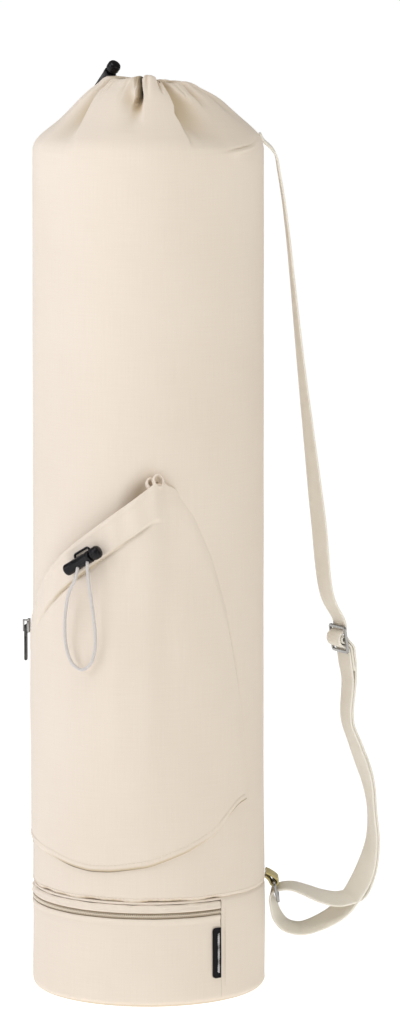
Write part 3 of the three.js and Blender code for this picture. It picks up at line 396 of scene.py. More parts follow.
button = spun_piece(
    "button",
    [
        (-lock_half + 0.0039, 0), (-lock_half + 0.0039, 0.003), (head_start, 0.003),
        (head_start, 0.0049), (head_start + 0.0003, 0.0051), (head_start + 0.001, 0.0052),
        (head_start + 0.0013, 0.00505), (head_start + 0.0016, 0.0052), (head_start + 0.0042, 0.0052),
        (head_start + 0.0056, 0.0046), (head_start + 0.0064, 0.0035), (head_start + 0.0069, 0.0019),
        (head_start + 0.007, 0),
    ],
)  # fmt: skip
slots = []
for side in (-1, 1):
    bpy.ops.object.select_all(action="DESELECT")
    bpy.ops.mesh.primitive_cube_add(size=1, location=(holes_middle + side * strand_spread + 0.00115, 0, 0))
    bpy.ops.transform.resize(value=(0.0054, 0.0031, 0.009))
    bpy.ops.object.transform_apply(location=True, rotation=True, scale=True)
    slots.append(bpy.context.object)
cut_away(button, *slots)
bpy.ops.object.select_all(action="DESELECT")
bpy.ops.mesh.primitive_torus_add(
    major_segments=48, minor_segments=16, major_radius=0.00215, minor_radius=0.00095
)
ring = bpy.context.object
for side in (-1, 1):
    bpy.ops.object.mode_set(mode="EDIT")
    bpy.ops.mesh.select_all(action="DESELECT")
    bpy.ops.object.mode_set(mode="OBJECT")
    for vertex in ring.data.vertices:
        vertex.select = vertex.co.x * side > 1e-6
    bpy.ops.object.mode_set(mode="EDIT")
    bpy.ops.transform.translate(value=(side * strand_spread, 0, 0))
    bpy.ops.object.mode_set(mode="OBJECT")
for name, origin, along, up in [
    ("pocket", (-0.0531215, -0.0958337, 0.3515), (0.7497, -0.4156, 0.515), (0.0118, -0.7698, -0.6382)),
    ("collar", (-0.0353394, 0.0421158, 0.712534), (0.4515, -0.5381, 0.7118), (0.265, 0.8426, 0.4689)),
]:
    tube = copied_to(barrel, name + "_lock_tube", origin, along, up)
    finish_piece(tube, gloss_black, "plastic", name + "_lock_barrel", angle=38)
    head = copied_to(button, name + "_lock_head", origin, along, up)
    finish_piece(head, gloss_black, "plastic", name + "_lock_button", body=name + "_button", angle=38)
    drawcord, line = drawcords[name]
for name, origin, along, up in [
    ("pocket", (-0.0502161, -0.0920873, 0.3586862), (0.7525, -0.4104, 0.515), (-0.4788, -0.8779, 0)),
    ("collar", (-0.0350762, 0.0332451, 0.7123575), (0.5522, -0.5234, 0.649), (-0.471, 0.4464, 0.7608)),
]:
    eyelet = copied_to(ring, name + "_cord_ring", origin, along, up)
    finish_piece(eyelet, gloss_black, "plastic", name + "_eyelet")
for tool in (barrel, button, ring):
    bpy.data.objects.remove(tool)

# The bag is one tube of plain cotton canvas, cut wide. Its top is gathered on the drawcord, so that the
# cloth folds into deep valleys between round lobes, over a hem channel.
canvas = Finish("cotton_canvas", (0.8, 0.7, 0.59), 0.86, Sheen_Weight=0.1, Sheen_Roughness=0.5)


def woven(finish, thread, flat=0.5):
    """The height of a plain weave of threads, and how much the threads differ."""
    warp = finish.along * (math.pi / thread)
    weft = finish.across * (math.pi / thread)
    over = (warp.maths("SINE") * weft.maths("SINE")).between(-0.25, 0.25)
    wave = warp.maths("SINE").maths("ABSOLUTE") * over + weft.maths("SINE").maths("ABSOLUTE") * (1 - over)
    thick = finish.cloth.noise(1, 2.0, (30, 1400, 1)) + finish.cloth.noise(1, 2.0, (1400, 30, 1))
    return wave**flat, thick * 0.5


weave, slubs = woven(canvas, 0.00055)
canvas.bump(weave * 0.6 + slubs * 0.6, 0.28, 0.0003)
cloud = canvas.place.noise(9, 3.0) * 0.5 + slubs * 0.5
# Painted shade: the mesh's shade attribute darkens the canvas's own colour, which varies at random, first
# towards tan and then towards near black in the folds, creases and hollows.
shade = canvas.place.node("ShaderNodeAttribute", {"attribute_name": "shade"}, out=2)
unshaded_colour = cloud.between(0.25, 0.75).blend((0.775, 0.672, 0.56, 1), (0.825, 0.728, 0.618, 1))
tan = shade.between(0, 0.5).blend(unshaded_colour, (0.57, 0.46, 0.31, 1))
canvas.feed("Base Color", shade.between(0.45, 1).blend(tan, (0.06, 0.045, 0.03, 1)))

base_radius, shoulder_radius, shoulder_height = 0.0922, 0.09, 0.664
seam_height, dome_rise, dome_wall, tube_wall = 0.0843, 0.057, 0.0016, 0.0034
dome_profile = [
    (0, 1), (0.1, 0.986), (0.19, 0.952), (0.3, 0.882), (0.42, 0.795), (0.55, 0.708), (0.7, 0.612),
    (0.82, 0.53), (0.91, 0.455), (0.97, 0.41), (1, 0.37),
]  # fmt: skip

# Each fold of the gathered top: whether its left and right edges are crisp, how dark the painted shade on
# its floor may get, and rows of the share of the rise, the turn of its floor, its depth as a share of the
# radius, and its half widths to the left and right in degrees.
top_folds = [
    (False, True, 0.44, [(0.02, -50, 0, 18, 11), (0.15, -50.5, 0.02, 19, 10.5), (0.42, -53.5, 0.115, 19, 8.5),
     (0.62, -55, 0.19, 17, 6.5), (0.81, -57, 0.26, 12, 4), (1, -59, 0.34, 9, 4)]),
    (False, False, 1.0, [(0.4, -6.5, 0, 8, 6), (0.55, -6.5, 0.05, 7, 4.6), (0.66, -6.2, 0.24, 7, 4),
     (0.75, -5.4, 0.37, 6, 3.4), (0.87, -7.4, 0.44, 4.4, 3), (1, -11, 0.47, 6, 4.4)]),
    (False, False, 0.4, [(0.3, -10, 0, 15, 8), (0.55, -9, 0.06, 13, 8), (0.7, -14, 0.11, 12, 9),
     (0.85, -19, 0.08, 11, 8), (1, -18, 0.05, 10, 8)]),
    (False, False, 0.7, [(0.84, -12, 0, 2, 2), (0.9, -13, 0.09, 2.4, 2), (1, -16.5, 0.15, 2.6, 2.2)]),
    (False, False, 0.6, [(0.8, 14.5, 0, 2, 2.5), (0.88, 14, 0.1, 2.4, 2.6), (1, 13, 0.2, 2.8, 3)]),
    (True, False, 0.42, [(0.1, 25.4, 0, 3, 24), (0.22, 25, 0.03, 2.6, 28), (0.42, 24, 0.085, 2.6, 28),
     (0.55, 22.4, 0.13, 3, 27), (0.65, 23.8, 0.15, 2.8, 24), (0.77, 23, 0.2, 2.6, 18),
     (0.95, 22, 0.34, 2.8, 10), (1, 22, 0.4, 3, 9)]),
    (True, False, 0.24, [(0.6, 50, 0, 3, 9), (0.73, 49.5, 0.06, 3, 10), (0.82, 47.5, 0.13, 3, 10),
     (0.93, 51, 0.2, 4, 9), (1, 51, 0.24, 5, 8)]),
    (False, False, 0.2, [(0.3, 78, 0, 15, 15), (0.7, 76, 0.07, 10, 10), (1, 74, 0.3, 9, 9)]),
    (False, False, 0.2, [(0.3, -85, 0, 16, 16), (0.7, -86, 0.06, 11, 11), (1, -87, 0.22, 8, 8)]),
    (False, True, 0.3, [(0.15, -114.6, 0, 16, 12), (0.6, -116.5, 0.12, 13, 9), (1, -118, 0.38, 9, 7)]),
    (True, False, 0.3, [(0.15, 117, 0, 10, 18), (0.6, 117, 0.12, 8, 14), (1, 117, 0.36, 7, 10)]),
    (False, False, 0.25, [(0.3, 141.6, 0, 15, 15), (0.65, 142.3, 0.1, 11, 11), (1, 143, 0.28, 9, 9)]),
    (False, True, 0.3, [(0.1, 171.7, 0, 20, 11), (0.55, 170.3, 0.13, 14, 9), (1, 169, 0.4, 9, 7)]),
    (False, False, 0.25, [(0.25, -162, 0, 14, 13), (0.6, -162, 0.09, 11, 10), (1, -162, 0.3, 9, 8)]),
]  # fmt: skip
rim_lifts = [
    (-180, -0.08), (-150, -0.07), (-130, -0.03), (-110, -0.02), (-60, -0.02), (-25, 0), (5, 0.03),
    (30, -0.06), (60, -0.08), (90, -0.1), (120, -0.12), (150, -0.1), (180, -0.05),
]  # fmt: skip
shoulder_edge = [(18, 0.32), (22.6, 0.22), (28, 0.16), (31.8, 0.09), (43, 0.04), (64, 0.09), (78, 0.17)]


def tube_radius(height):
    return base_radius + (shoulder_radius - base_radius) * np.clip(np.asarray(height) / shoulder_height, 0, 1)


def around(turn, radius, height):
    """The point at a turn in degrees, a radius and a height."""
    a = np.radians(turn)
    return np.stack(np.broadcast_arrays(radius * np.sin(a), -radius * np.cos(a), height), axis=-1)


def bell(distance):
    """1 in the middle and 0 from one half width on, rounded at both."""
    return np.where(np.abs(distance) < 1, (1 + np.cos(np.pi * np.clip(distance, -1, 1))) / 2, 0)


def smoothstep(value):
    t = np.clip(value, 0, 1)
    return t * t * (3 - 2 * t)


def turn_between(turn, other):
    return (turn - other + 180) % 360 - 180


def folded(turn, up):
    """How far the folds draw the cloth in, as a share of its radius, and how much painted shade darkens them.
    """
    depth, dark = np.zeros_like(turn), np.zeros_like(turn)
    for crisp_left, crisp_right, darkest, rows in top_folds:
        at = [np.interp(up, *np.array(rows)[:, (0, k)].T) for k in range(1, 5)]
        away = turn_between(turn, at[0])
        x = away / np.where(away < 0, at[2], at[3])
        round_edge = bell(x)
        crisp_edge = np.clip(1 - x**2, 0, 1)
        profile = np.where(np.where(away < 0, crisp_left, crisp_right), crisp_edge, round_edge)
        depth += at[1] * profile
        # Painted shade on each fold's floor, up to its darkest.
        dark += min(at[1] * 2.6, darkest) * profile
    pleats = np.random.default_rng(4)
    for _ in range(40):
        fold_turn, half, deep, start = pleats.uniform((-180, 1.6, 0.01, 0.55), (180, 3.6, 0.05, 0.9))
        depth += deep * bell(turn_between(turn, fold_turn) / half) * np.clip((up - start) / (1 - start), 0, 1)
    edge = np.interp(turn, *np.array(shoulder_edge).T)
    side = smoothstep((turn - 20.8) / 2.4) * (1 - smoothstep((turn - 40) / 34))
    depth += 0.045 * side * smoothstep((up - edge) / 0.24) * (1 - smoothstep((up - 0.55) / 0.4))
    drawn_in = 0.05 * bell((turn + 92) / 44) * smoothstep(up / 0.4)
    fuller = 0.02 * bell((turn - 80) / 34) * bell((up - 0.4) / 0.4)
    depth += drawn_in - fuller
    # Painted shade: a thin dark line along the shoulder's crease, and a light tan over the hollow facet right
    # of the crisp edge.
    crease = 0.3 * bell((turn - 56) / 21) * bell((up - edge - 0.006) / 0.02)
    dark += crease + 0.1 * side * smoothstep((up - edge) / 0.2)
    return np.minimum(depth, 0.62), dark


def slack(turn, height):
    """Soft unevenness of the standing cloth, in metres."""
    a = np.radians(turn)
    wide = np.sin(2 * a + 5 * height + 0.6) + 0.7 * np.sin(3 * a - 9 * height + 2.1)
    fine = 0.5 * np.sin(7 * a + 23 * height) * np.sin(31 * height + 2 * a + 1.3)
    fine = fine + 0.4 * np.sin(5 * a - 17 * height)
    return 0.0003 * wide + 0.00025 * fine


def shaded(piece, values):
    """Stores how much painted shade darkens the cloth at each point, from 0 to 1."""
    store = piece.data.attributes.new("shade", "FLOAT", "POINT")
    store.data.foreach_set("value", np.clip(np.array(values, np.float32).ravel(), 0, 1))


def dent(turn, height, at_turn, at_height, wide, tall, depth, tilt=0.0):
    """A long shallow hollow in standing cloth, that leans by tilt degrees over a metre of height."""
    away = turn_between(turn, at_turn + tilt * (height - at_height))
    return -depth * bell(away / wide) * bell((height - at_height) / tall)


# The pocket's mouth rises to the right: the turn of its left end, its height there, its rise per degree,
# and how far the bag's own cloth sinks in over it.
pocket_left, mouth_start, mouth_slope, hollow_depth = -92, 0.2875, 0.001308, 0.0038


def pocket_hollow(turn, height):
    """How far the slack cloth sinks in just over the pocket's mouth, from 0 to 1."""
    above = height - (mouth_start + mouth_slope * (turn - pocket_left))
    return bell((turn + 3.5) / 13) * bell((above - 0.001) / 0.022)


def dome_place(turn, up):
    """Radius and height of the gathered top's outer cloth."""
    out = np.interp(up, dome_ups, dome_outs)
    radius = out * shoulder_radius * (1 - folded(turn, up)[0]) + slack(turn, shoulder_height) * (1 - up)
    edge = np.interp(turn, *np.array(shoulder_edge).T)
    swell = 0.001 * bell((up - edge + 0.028) / 0.035)
    crease = 0.0013 * bell((up - edge - 0.006) / 0.025)
    radius = radius + bell((turn - 56) / 21) * (swell - crease)
    lift = np.interp(turn, *np.array(rim_lifts).T) * smoothstep((up - 0.6) / 0.4)
    lift = lift - 0.055 * (bell((turn + 9) / 6) + bell((turn - 16.5) / 5)) * smoothstep((up - 0.8) / 0.2)
    lobes = 0.0009 * np.sin(np.radians(turn) * 5 + 2) * smoothstep((up - 0.6) / 0.4)
    return radius, shoulder_height + up * dome_rise * (1 + lift) + lobes


smooth_profile = smooth_path([(out, up, 0) for up, out in dome_profile], 0.017)
dome_outs, dome_ups = smooth_profile[:, 0], np.clip(smooth_profile[:, 1], 0, 1)
columns = 520
fine = np.linspace(-180, 180, 7201)
crowded = ((-51, 13), (-9, 10), (18, 9), (49, 6))
density = 1 + sum(2.4 * np.exp(-(((fine - at) / wide) ** 2)) for at, wide in crowded)
share = np.append(0, np.cumsum(density[1:] + density[:-1]))
turn = np.interp(np.arange(columns) / columns * share[-1], share, fine)
tube_heights = np.concatenate([
    seam_height + np.array([0, 0.0008, 0.0017, 0.0028, 0.0045, 0.008]),
    np.linspace(0.1, 0.372, 22), np.linspace(0.375, 0.45, 28), np.linspace(0.46, 0.655, 11),
])  # fmt: skip
rows, shades = [], []
for height in tube_heights:
    fade = smoothstep((height - seam_height) / 0.06)
    curled = np.clip(1 - (height - seam_height) / 0.004, 0, 1) ** 2
    open_seam = smoothstep((39 - turn) / 3) * smoothstep((turn + 171) / 3) * 0.8 + 0.2
    radius = tube_radius(height) - 0.0017 * curled * open_seam + slack(turn, height) * fade
    hollow = pocket_hollow(turn, height)
    radius = radius - hollow_depth * hollow
    # Painted shade: the sunken cloth over the pocket's mouth and the curled cloth at the seam are darkened,
    # the seam unevenly along its length.
    uneven = 0.7 + 0.3 * np.sin(np.radians(turn) * 37) * np.sin(np.radians(turn) * 61 + 1)
    shades.append(0.36 * hollow**2 + 0.55 * curled * open_seam * uneven)
    radius = radius - 0.0012 * bell((turn - 50) / 9) * bell((height - 0.16) / 0.006)
    wave = 0.0006 * np.sin(np.radians(turn) * 11) + 0.0004 * np.sin(np.radians(turn) * 23 + 1)
    rows.append(around(turn, radius, height + wave * (1 - fade) * open_seam))
for up in dome_ups:
    rows.append(around(turn, *dome_place(turn, up)))
    shades.append(folded(turn, up)[1])
rim_depth = folded(turn, 1.0)[0]
rim_height = dome_place(turn, 1.0)[1]
rim_rows = [(0.0005, 0.345, 0.97), (0.0018, 0.328, 0.92), (0.0045, 0.318, 0.86), (0.0085, 0.33, 0.8)]
for drop, out, hold in rim_rows:
    rows.append(around(turn, out * shoulder_radius * (1 - rim_depth * hold), rim_height - drop))
for up in (0.78, 0.7, 0.6, 0.45, 0.3, 0.15, 0):
    radius, height = dome_place(turn, up)
    rows.append(around(turn, radius - dome_wall, height))
for height in (0.6, 0.45, 0.42, 0.4, 0.36, 0.2, seam_height):
    radius = tube_radius(height) - tube_wall - hollow_depth * pocket_hollow(turn, height)
    rows.append(around(turn, radius, height))
rows = np.array(rows)
run = np.append(0, np.cumsum(np.linalg.norm(np.diff(rows[:, 0], axis=0), axis=1)))
flat_u, flat_v = np.meshgrid(np.radians(np.append(turn, 180)) * 0.0915, np.append(run, run[-1] + 0.002))
spread = np.stack([flat_u, flat_v], axis=2)
bag = grid_piece("bag_cloth", rows, spread, round_rows=True, round_columns=True)
# Painted shade: the rim's inner turn and the inside of the bag are darkened evenly.
shades += [np.full(columns, 0.3)] * (len(rows) - len(shades))
shaded(bag, shades)
finish_piece(bag, canvas, "canvas", "bag_body")

# The lower compartment stands under a recessed seam: a round canvas floor, a stiff base, a front wall
# that the zip opens, a back wall, and a narrow puckered strip over the zip. The base's edge is rolled.
stitch_finish = Finish("sewing_thread", (0.78, 0.68, 0.57), 0.75, Sheen_Weight=0.1)
twist = stitch_finish.place.noise(2600, 1.0)
stitch_finish.bump(twist, 0.3, 0.0001)
tone = twist.between(0.3, 0.7)
stitch_finish.feed("Base Color", tone.blend((0.74, 0.64, 0.53, 1), (0.82, 0.72, 0.61, 1)))


def add_bead(points, faces, rings):
    """Adds a small closed body to lists of points and faces, from rings of six points."""
    first = len(points)
    last = first + 6 * (len(rings) - 1)
    for ring in rings:
        points.extend(ring)
    for ring_start in range(first, last, 6):
        for k in range(6):
            near, far = ring_start + k, ring_start + (k + 1) % 6
            faces.append((near, far, far + 6, near + 6))
    faces.append(tuple(range(first + 5, first - 1, -1)))
    faces.append(tuple(range(last, last + 6)))


# Along one stitch: the share of its half length, its thickness, and how far it stands proud.
stitch_shape = ((-1, 0.3, -0.6), (-0.72, 0.9, 0), (0, 1, 0.25), (0.72, 0.9, 0), (1, 0.3, -0.6))
hexagon = [k * math.pi / 3 for k in range(6)]


def stitch_row(name, path, outs, pitch=0.003, thick=0.0003, slot="canvas", finish=stitch_finish):
    """A row of short stitches along a path on cloth. outs are the ways out of the cloth."""
    run = np.append(0, np.cumsum(np.linalg.norm(np.diff(path, axis=0), axis=1)))
    starts = np.arange(pitch * 0.4, run[-1] - pitch * 0.9, pitch)
    points, faces = [], []
    for start in starts:
        head, tail, out = (
            np.array([np.interp(s, run, column) for column in rows.T])
            for s, rows in ((start, path), (start + pitch * 0.74, path), (start, outs))
        )
        along = tail - head
        half_length = np.linalg.norm(along) / 2
        along /= np.linalg.norm(along)
        side = np.cross(out, along)
        side /= np.linalg.norm(side)
        out = np.cross(along, side)
        rings = []
        for share, size, proud in stitch_shape:
            middle = (head + tail) / 2 + along * half_length * share + out * proud * thick
            ways = [math.cos(angle) * side + math.sin(angle) * out * 0.8 for angle in hexagon]
            rings.append([middle + thick * size * way for way in ways])
        add_bead(points, faces, rings)
    finish_piece(mesh_piece(name, points, faces), finish, slot)


def outward(turn):
    return around(turn, 1.0, 0.0)


def slit(turn, height):
    """How many degrees the front wall's end is drawn back, which opens the upright seam at its top."""
    near_top, near_end = smoothstep((height - 0.053) / 0.012), smoothstep((turn - zip_end + 3) / 3)
    return 0.5 * near_top * near_end * (turn < zip_end)


def walls(name, turns, section, *nodes, finish=canvas, slot="canvas"):
    """Cloth round the tube. section gives, for one turn, the closed outline as rows of radius and height."""
    loops = np.array([[around(t - slit(t, h), r, h) for r, h in section(t)] for t in turns])
    outline = np.array(section(float(turns[0])))
    lap = np.append(0, np.cumsum(np.linalg.norm(np.diff(outline, axis=0, append=outline[:1]), axis=1)))
    u, v = np.meshgrid(np.radians(turns) * base_radius, lap, indexing="ij")
    piece = grid_piece(name, loops, np.stack([u, v], axis=2), round_columns=True)
    # Painted shadow: the walls darken over their lowest 3.2 mm, where they meet the floor.
    shaded(piece, 0.6 * np.clip(1 - loops[..., 2] / 0.0032, 0, 1))
    faced_out(piece, ends=True)
    finish_piece(piece, finish, slot, *nodes, angle=50)


zip_start, zip_end, zip_height, coil_half = -170.0, 38.5, 0.073, 0.0021


def pucker(turn):
    """Small uneven waves that sewing draws into a long edge."""
    a = math.radians(turn)
    return 0.5 * math.sin(17 * a + 1) + 0.35 * math.sin(31 * a + 2.3) + 0.25 * math.sin(53 * a)


edge_round = 0.006
base_edge = [
    (base_radius - edge_round * (1 - math.cos(a)), 0.0002 + edge_round * (1 - math.sin(a)))
    for a in np.radians((90, 80, 65, 50, 35, 20, 8))
]
base_inside = [(base_radius - 0.0035, 0.0035), (base_radius - 0.0062, 0.0022)]


def front_section(turn):
    top = zip_height - coil_half - 0.0003
    lip = 0.0004 + 0.00025 * pucker(turn)
    shy = 0.00018 * pucker(turn + 70)
    outer = [*base_edge]
    for height in np.linspace(0.009, top - 0.006, 14):
        outer.append((tube_radius(height) + 0.0003 * math.sin(math.radians(turn) * 3 + 60 * height), height))
    outer += [
        (tube_radius(top) - 0.0002, top - 0.0046), (tube_radius(top) + lip, top - 0.0030),
        (tube_radius(top) + lip * 1.3, top - 0.0016), (tube_radius(top) + lip * 0.8, top - 0.0005 + shy),
        (tube_radius(top) - 0.0003, top + shy * 0.5), (tube_radius(top) - 0.0012, top - 0.0003),
    ]  # fmt: skip
    inner = [(tube_radius(0.05) - 0.0016, h) for h in np.linspace(top - 0.002, 0.008, 4)]
    return outer + inner + base_inside


def back_section(turn):
    top = 0.0838 + 0.0001 * pucker(turn)
    outer = [*base_edge]
    for height in np.linspace(0.009, top - 0.003, 14):
        outer.append((tube_radius(height) + 0.0003 * math.sin(math.radians(turn) * 3 + 60 * height), height))
    outer += [(tube_radius(top) - 0.0004, top - 0.001), (tube_radius(top) - 0.0014, top)]
    inner = [(tube_radius(0.05) - 0.0021, h) for h in np.linspace(top - 0.001, 0.008, 4)]
    return outer + inner + base_inside


def strip_section(turn):
    low, top = zip_height + coil_half + 0.0003, 0.0817 + 0.0003 * pucker(turn)
    roll = 0.00055 + 0.00045 * pucker(turn + 25)
    puff = 0.0002 + 0.0005 * pucker(turn * 1.3 + 140)
    r = float(tube_radius(zip_height))
    return [
        (r - 0.0012, low + 0.0002), (r - 0.0002, low), (r + roll * 0.8, low + 0.0006),
        (r + roll, low + 0.0014), (r + roll * 0.7, low + 0.0022), (r + 0.0001, low + 0.003),
        (r + puff, low + 0.0041), (r + puff * 0.8, top - 0.0011), (r - 0.0005, top - 0.0004),
        (r - 0.0014, top), (r - 0.0018, top - 0.0016), (r - 0.0018, low + 0.002),
    ]  # fmt: skip


front_turns = np.append(np.arange(zip_start, zip_end - 0.2, 0.7), zip_end - 0.05)
back_turns = np.append(np.arange(zip_end + 0.06, zip_start + 359.8, 0.8), zip_start + 359.8)
walls("compartment_front_wall", front_turns, front_section, "compartment_front")
walls("compartment_back_wall", back_turns, back_section, "compartment_back")
walls("zip_strip", front_turns, strip_section, "zip_upper_strip")


def round_floor(name, radius, bottom, thick, *nodes):
    """A round cloth board with a rolled edge."""
    bpy.ops.object.select_all(action="DESELECT")
    bpy.ops.mesh.primitive_cylinder_add(
        vertices=160, radius=radius, depth=thick, location=(0, 0, bottom + thick / 2), end_fill_type="NGON"
    )
    piece = bpy.context.object
    piece.name = piece.data.name = name
    bpy.ops.object.transform_apply(location=True, rotation=True, scale=True)
    bpy.ops.object.mode_set(mode="EDIT")
    bpy.ops.mesh.select_all(action="SELECT")
    bpy.ops.mesh.edges_select_sharp(sharpness=math.radians(40))
    bpy.ops.mesh.bevel(offset=thick * 0.4, segments=4, affect="EDGES")
    bpy.ops.object.mode_set(mode="OBJECT")
    cloth = piece.data.uv_layers[0]
    cloth.name = "cloth"
    for loop in piece.data.loops:
        place = piece.data.vertices[loop.vertex_index].co
        cloth.data[loop.index].uv = (place.x, place.y)
    finish_piece(piece, canvas, "canvas", *nodes, angle=40)


round_floor("base_board", 0.0872, 0.0, 0.002, "base_disc")
round_floor("divider_floor", 0.0912, 0.082, 0.002, "divider_disc")
seam_turns = np.arange(-180, 180.5, 0.75)
seam_line = 0.0868
wavy_line = seam_line + 0.0002 * np.sin(np.radians(seam_turns) * 11)
seam_path = around(seam_turns, tube_radius(seam_line), wavy_line)
stitch_row("seam_stitches", seam_path, outward(seam_turns))
heights_here = np.arange(0.012, 0.079, 0.002)
for name, seam_turn in [("corner_stitches", zip_end + 2.4), ("back_end_stitches", zip_start - 2.4)]:
    path = around(seam_turn + 0 * heights_here, tube_radius(heights_here) + 0.0001, heights_here)
    stitch_row(name, path, outward(seam_turn + 0 * heights_here))

# Zips: two rows of moulded teeth that lock into one coil between woven tapes, with a metal slider. The
# compartment's slider is parked out of sight at the back. The short side zip's pull hangs from its
# slider's bail.
tooth_finish = Finish("zip_teeth", (0.74, 0.65, 0.52), 0.5, Coat_Weight=0.1)
tooth_finish.feed("Roughness", tooth_finish.place.noise(700, 2.0) * 0.25 + 0.32)
tape_finish = Finish("zip_tape", (0.72, 0.64, 0.52), 0.82, Sheen_Weight=0.2)
tape_weave, tape_slubs = woven(tape_finish, 0.00045)
tape_finish.bump(tape_weave * 0.6 + tape_slubs * 0.6, 0.35, 0.0002)
# Painted shade: the tape is dark brown rather than cream, so that the narrow gaps either side of the
# compartment zip's coil look dark; the side zip's tape shares this colour.
tone = tape_slubs.between(0.3, 0.7)
tape_finish.feed("Base Color", tone.blend((0.34, 0.26, 0.17, 1), (0.44, 0.35, 0.24, 1)))
plated = Finish("plated_metal", (0.34, 0.335, 0.32), 0.3, Metallic=1.0)
brushed = plated.place.noise(1, 2.0, (2400, 2400, 90))
plated.feed("Roughness", brushed * 0.18 + 0.2)
plated.bump(brushed, 0.06, 0.0001)
tone = brushed.between(0.25, 0.75)
plated.feed("Base Color", tone.blend((0.24, 0.235, 0.225, 1), (0.46, 0.45, 0.435, 1)))


# From a tooth's root to its hook: the share of its reach, its half width and its height.
tooth_shape = ((-0.28, 0.55, 0.6), (-0.1, 0.8, 1.0), (0.55, 0.7, 0.95), (0.95, 0.5, 0.35))


def zip_teeth(name, places, along, across, out, width, *nodes):
    """Small hooked teeth from both sides of a zip, one after another along its middle line."""
    points, faces = [], []
    for index, (place, a, c, o) in enumerate(zip(places, along, across, out)):
        side = 1 if index % 2 else -1
        rings = []
        for reach, half, rise in tooth_shape:
            middle = place + c * side * reach * width / 2
            ring = []
            for angle in hexagon:
                sideways = a * math.cos(angle) * half * 0.00056
                ring.append(middle + sideways + o * math.sin(angle) * rise * 0.00062)
            rings.append(ring)
        add_bead(points, faces, rings)
    piece = mesh_piece(name, points, faces)
    faced_out(piece)
    finish_piece(piece, tooth_finish, "zip", *nodes)


tooth_pitch = 0.00078
tooth_step = math.degrees(tooth_pitch / base_radius)
tooth_turns = np.arange(zip_start + 0.6, zip_end - 0.4, tooth_step)
up_ways = np.repeat([[0.0, 0.0, 1.0]], len(tooth_turns), 0)
zip_teeth(
    "compartment_zip_teeth",
    around(tooth_turns, tube_radius(zip_height) - 0.0003, zip_height),
    around(tooth_turns + 90, 1.0, 0.0), up_ways, outward(tooth_turns), 0.0032, "compartment_zip_coil",
)  # fmt: skip


def tape_section(turn):
    r = float(tube_radius(zip_height)) - 0.0013
    return [
        (r, zip_height - 0.0026), (r + 0.0002, zip_height - 0.0022), (r + 0.0002, zip_height),
        (r + 0.0002, zip_height + 0.0022), (r, zip_height + 0.0026), (r - 0.0004, zip_height),
    ]  # fmt: skip


walls("compartment_zip_tape", front_turns, tape_section, finish=tape_finish, slot="zip")


def bevelled_copy(name, node, finish, width, body="root"):
    """A copy of a rigid CAD node with its edges rounded."""
    copy = bpy.data.objects.new(name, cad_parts[node].data.copy())
    bpy.context.scene.collection.objects.link(copy)
    picked(copy)
    bpy.ops.object.mode_set(mode="EDIT")
    bpy.ops.mesh.select_all(action="SELECT")
    bpy.ops.mesh.remove_doubles(threshold=1e-6)
    bpy.ops.mesh.dissolve_limited(angle_limit=math.radians(4))
    bpy.ops.object.mode_set(mode="OBJECT")
    modified(copy, "BEVEL", width=width, segments=3, limit_method="ANGLE", angle_limit=math.radians(25))
    finish_piece(copy, finish, "metal", node, body=body, angle=35)


bevelled_copy("compartment_slider", "compartment_zip_slider", plated, 0.0004)
bevelled_copy("side_slider", "side_zip_slider", plated, 0.00022)
gunmetal = Finish("dark_plated_metal", (0.07, 0.068, 0.066), 0.36, Metallic=1.0)
worn_edge = gunmetal.place.noise(1, 2.0, (1800, 1800, 200))
gunmetal.feed("Roughness", worn_edge * 0.2 + 0.26)
tone = worn_edge.between(0.3, 0.7)
gunmetal.feed("Base Color", tone.blend((0.045, 0.044, 0.043, 1), (0.1, 0.098, 0.095, 1)))
bevelled_copy("side_pull_tab", "side_zip_pull", gunmetal, 0.0003, body="side_pull")

side_turn, side_bottom, side_top, side_radius, side_tape_half = -98.0, 0.112, 0.292, 0.0911, 0.005
side_heights = np.linspace(side_bottom, side_top, 60)
side_shares = np.linspace(-1, 1, 13)
side_across = side_turn + side_shares * math.degrees(side_tape_half / side_radius)
side_rows = []
for height in side_heights:
    radius = tube_radius(height) + 0.0013 - 0.0009 * side_shares**6
    radius = radius + 0.00012 * np.sin(90 * height + side_shares)
    side_rows.append(around(side_across, radius, height))
side_u, side_v = np.meshgrid(side_shares * side_tape_half, side_heights)
side_tape = grid_piece("side_tape", np.array(side_rows), np.stack([side_u, side_v], axis=2))
modified(side_tape, "SOLIDIFY", thickness=0.0009, offset=-1)
finish_piece(side_tape, tape_finish, "zip", "side_zip_tape")
tooth_heights = np.arange(side_bottom + 0.0045, side_top - 0.012, tooth_pitch)
count = len(tooth_heights)
zip_teeth(
    "side_zip_teeth",
    around(side_turn + 0 * tooth_heights, tube_radius(tooth_heights) + 0.0021, tooth_heights),
    np.repeat([[0.0, 0.0, 1.0]], count, 0), around(np.full(count, side_turn + 90), 1.0, 0.0),
    outward(np.full(count, side_turn)), 0.0034, "side_zip_coil",
)  # fmt: skip
for name, offset in [("side_stitches_front", 0.0042), ("side_stitches_back", -0.0042)]:
    at = side_turn + math.degrees(offset / side_radius)
    heights_here = np.arange(side_bottom + 0.002, side_top - 0.001, 0.002)
    path = around(at + 0 * heights_here, tube_radius(heights_here) + 0.0013, heights_here)
    stitch_row(name, path, outward(at + 0 * heights_here))

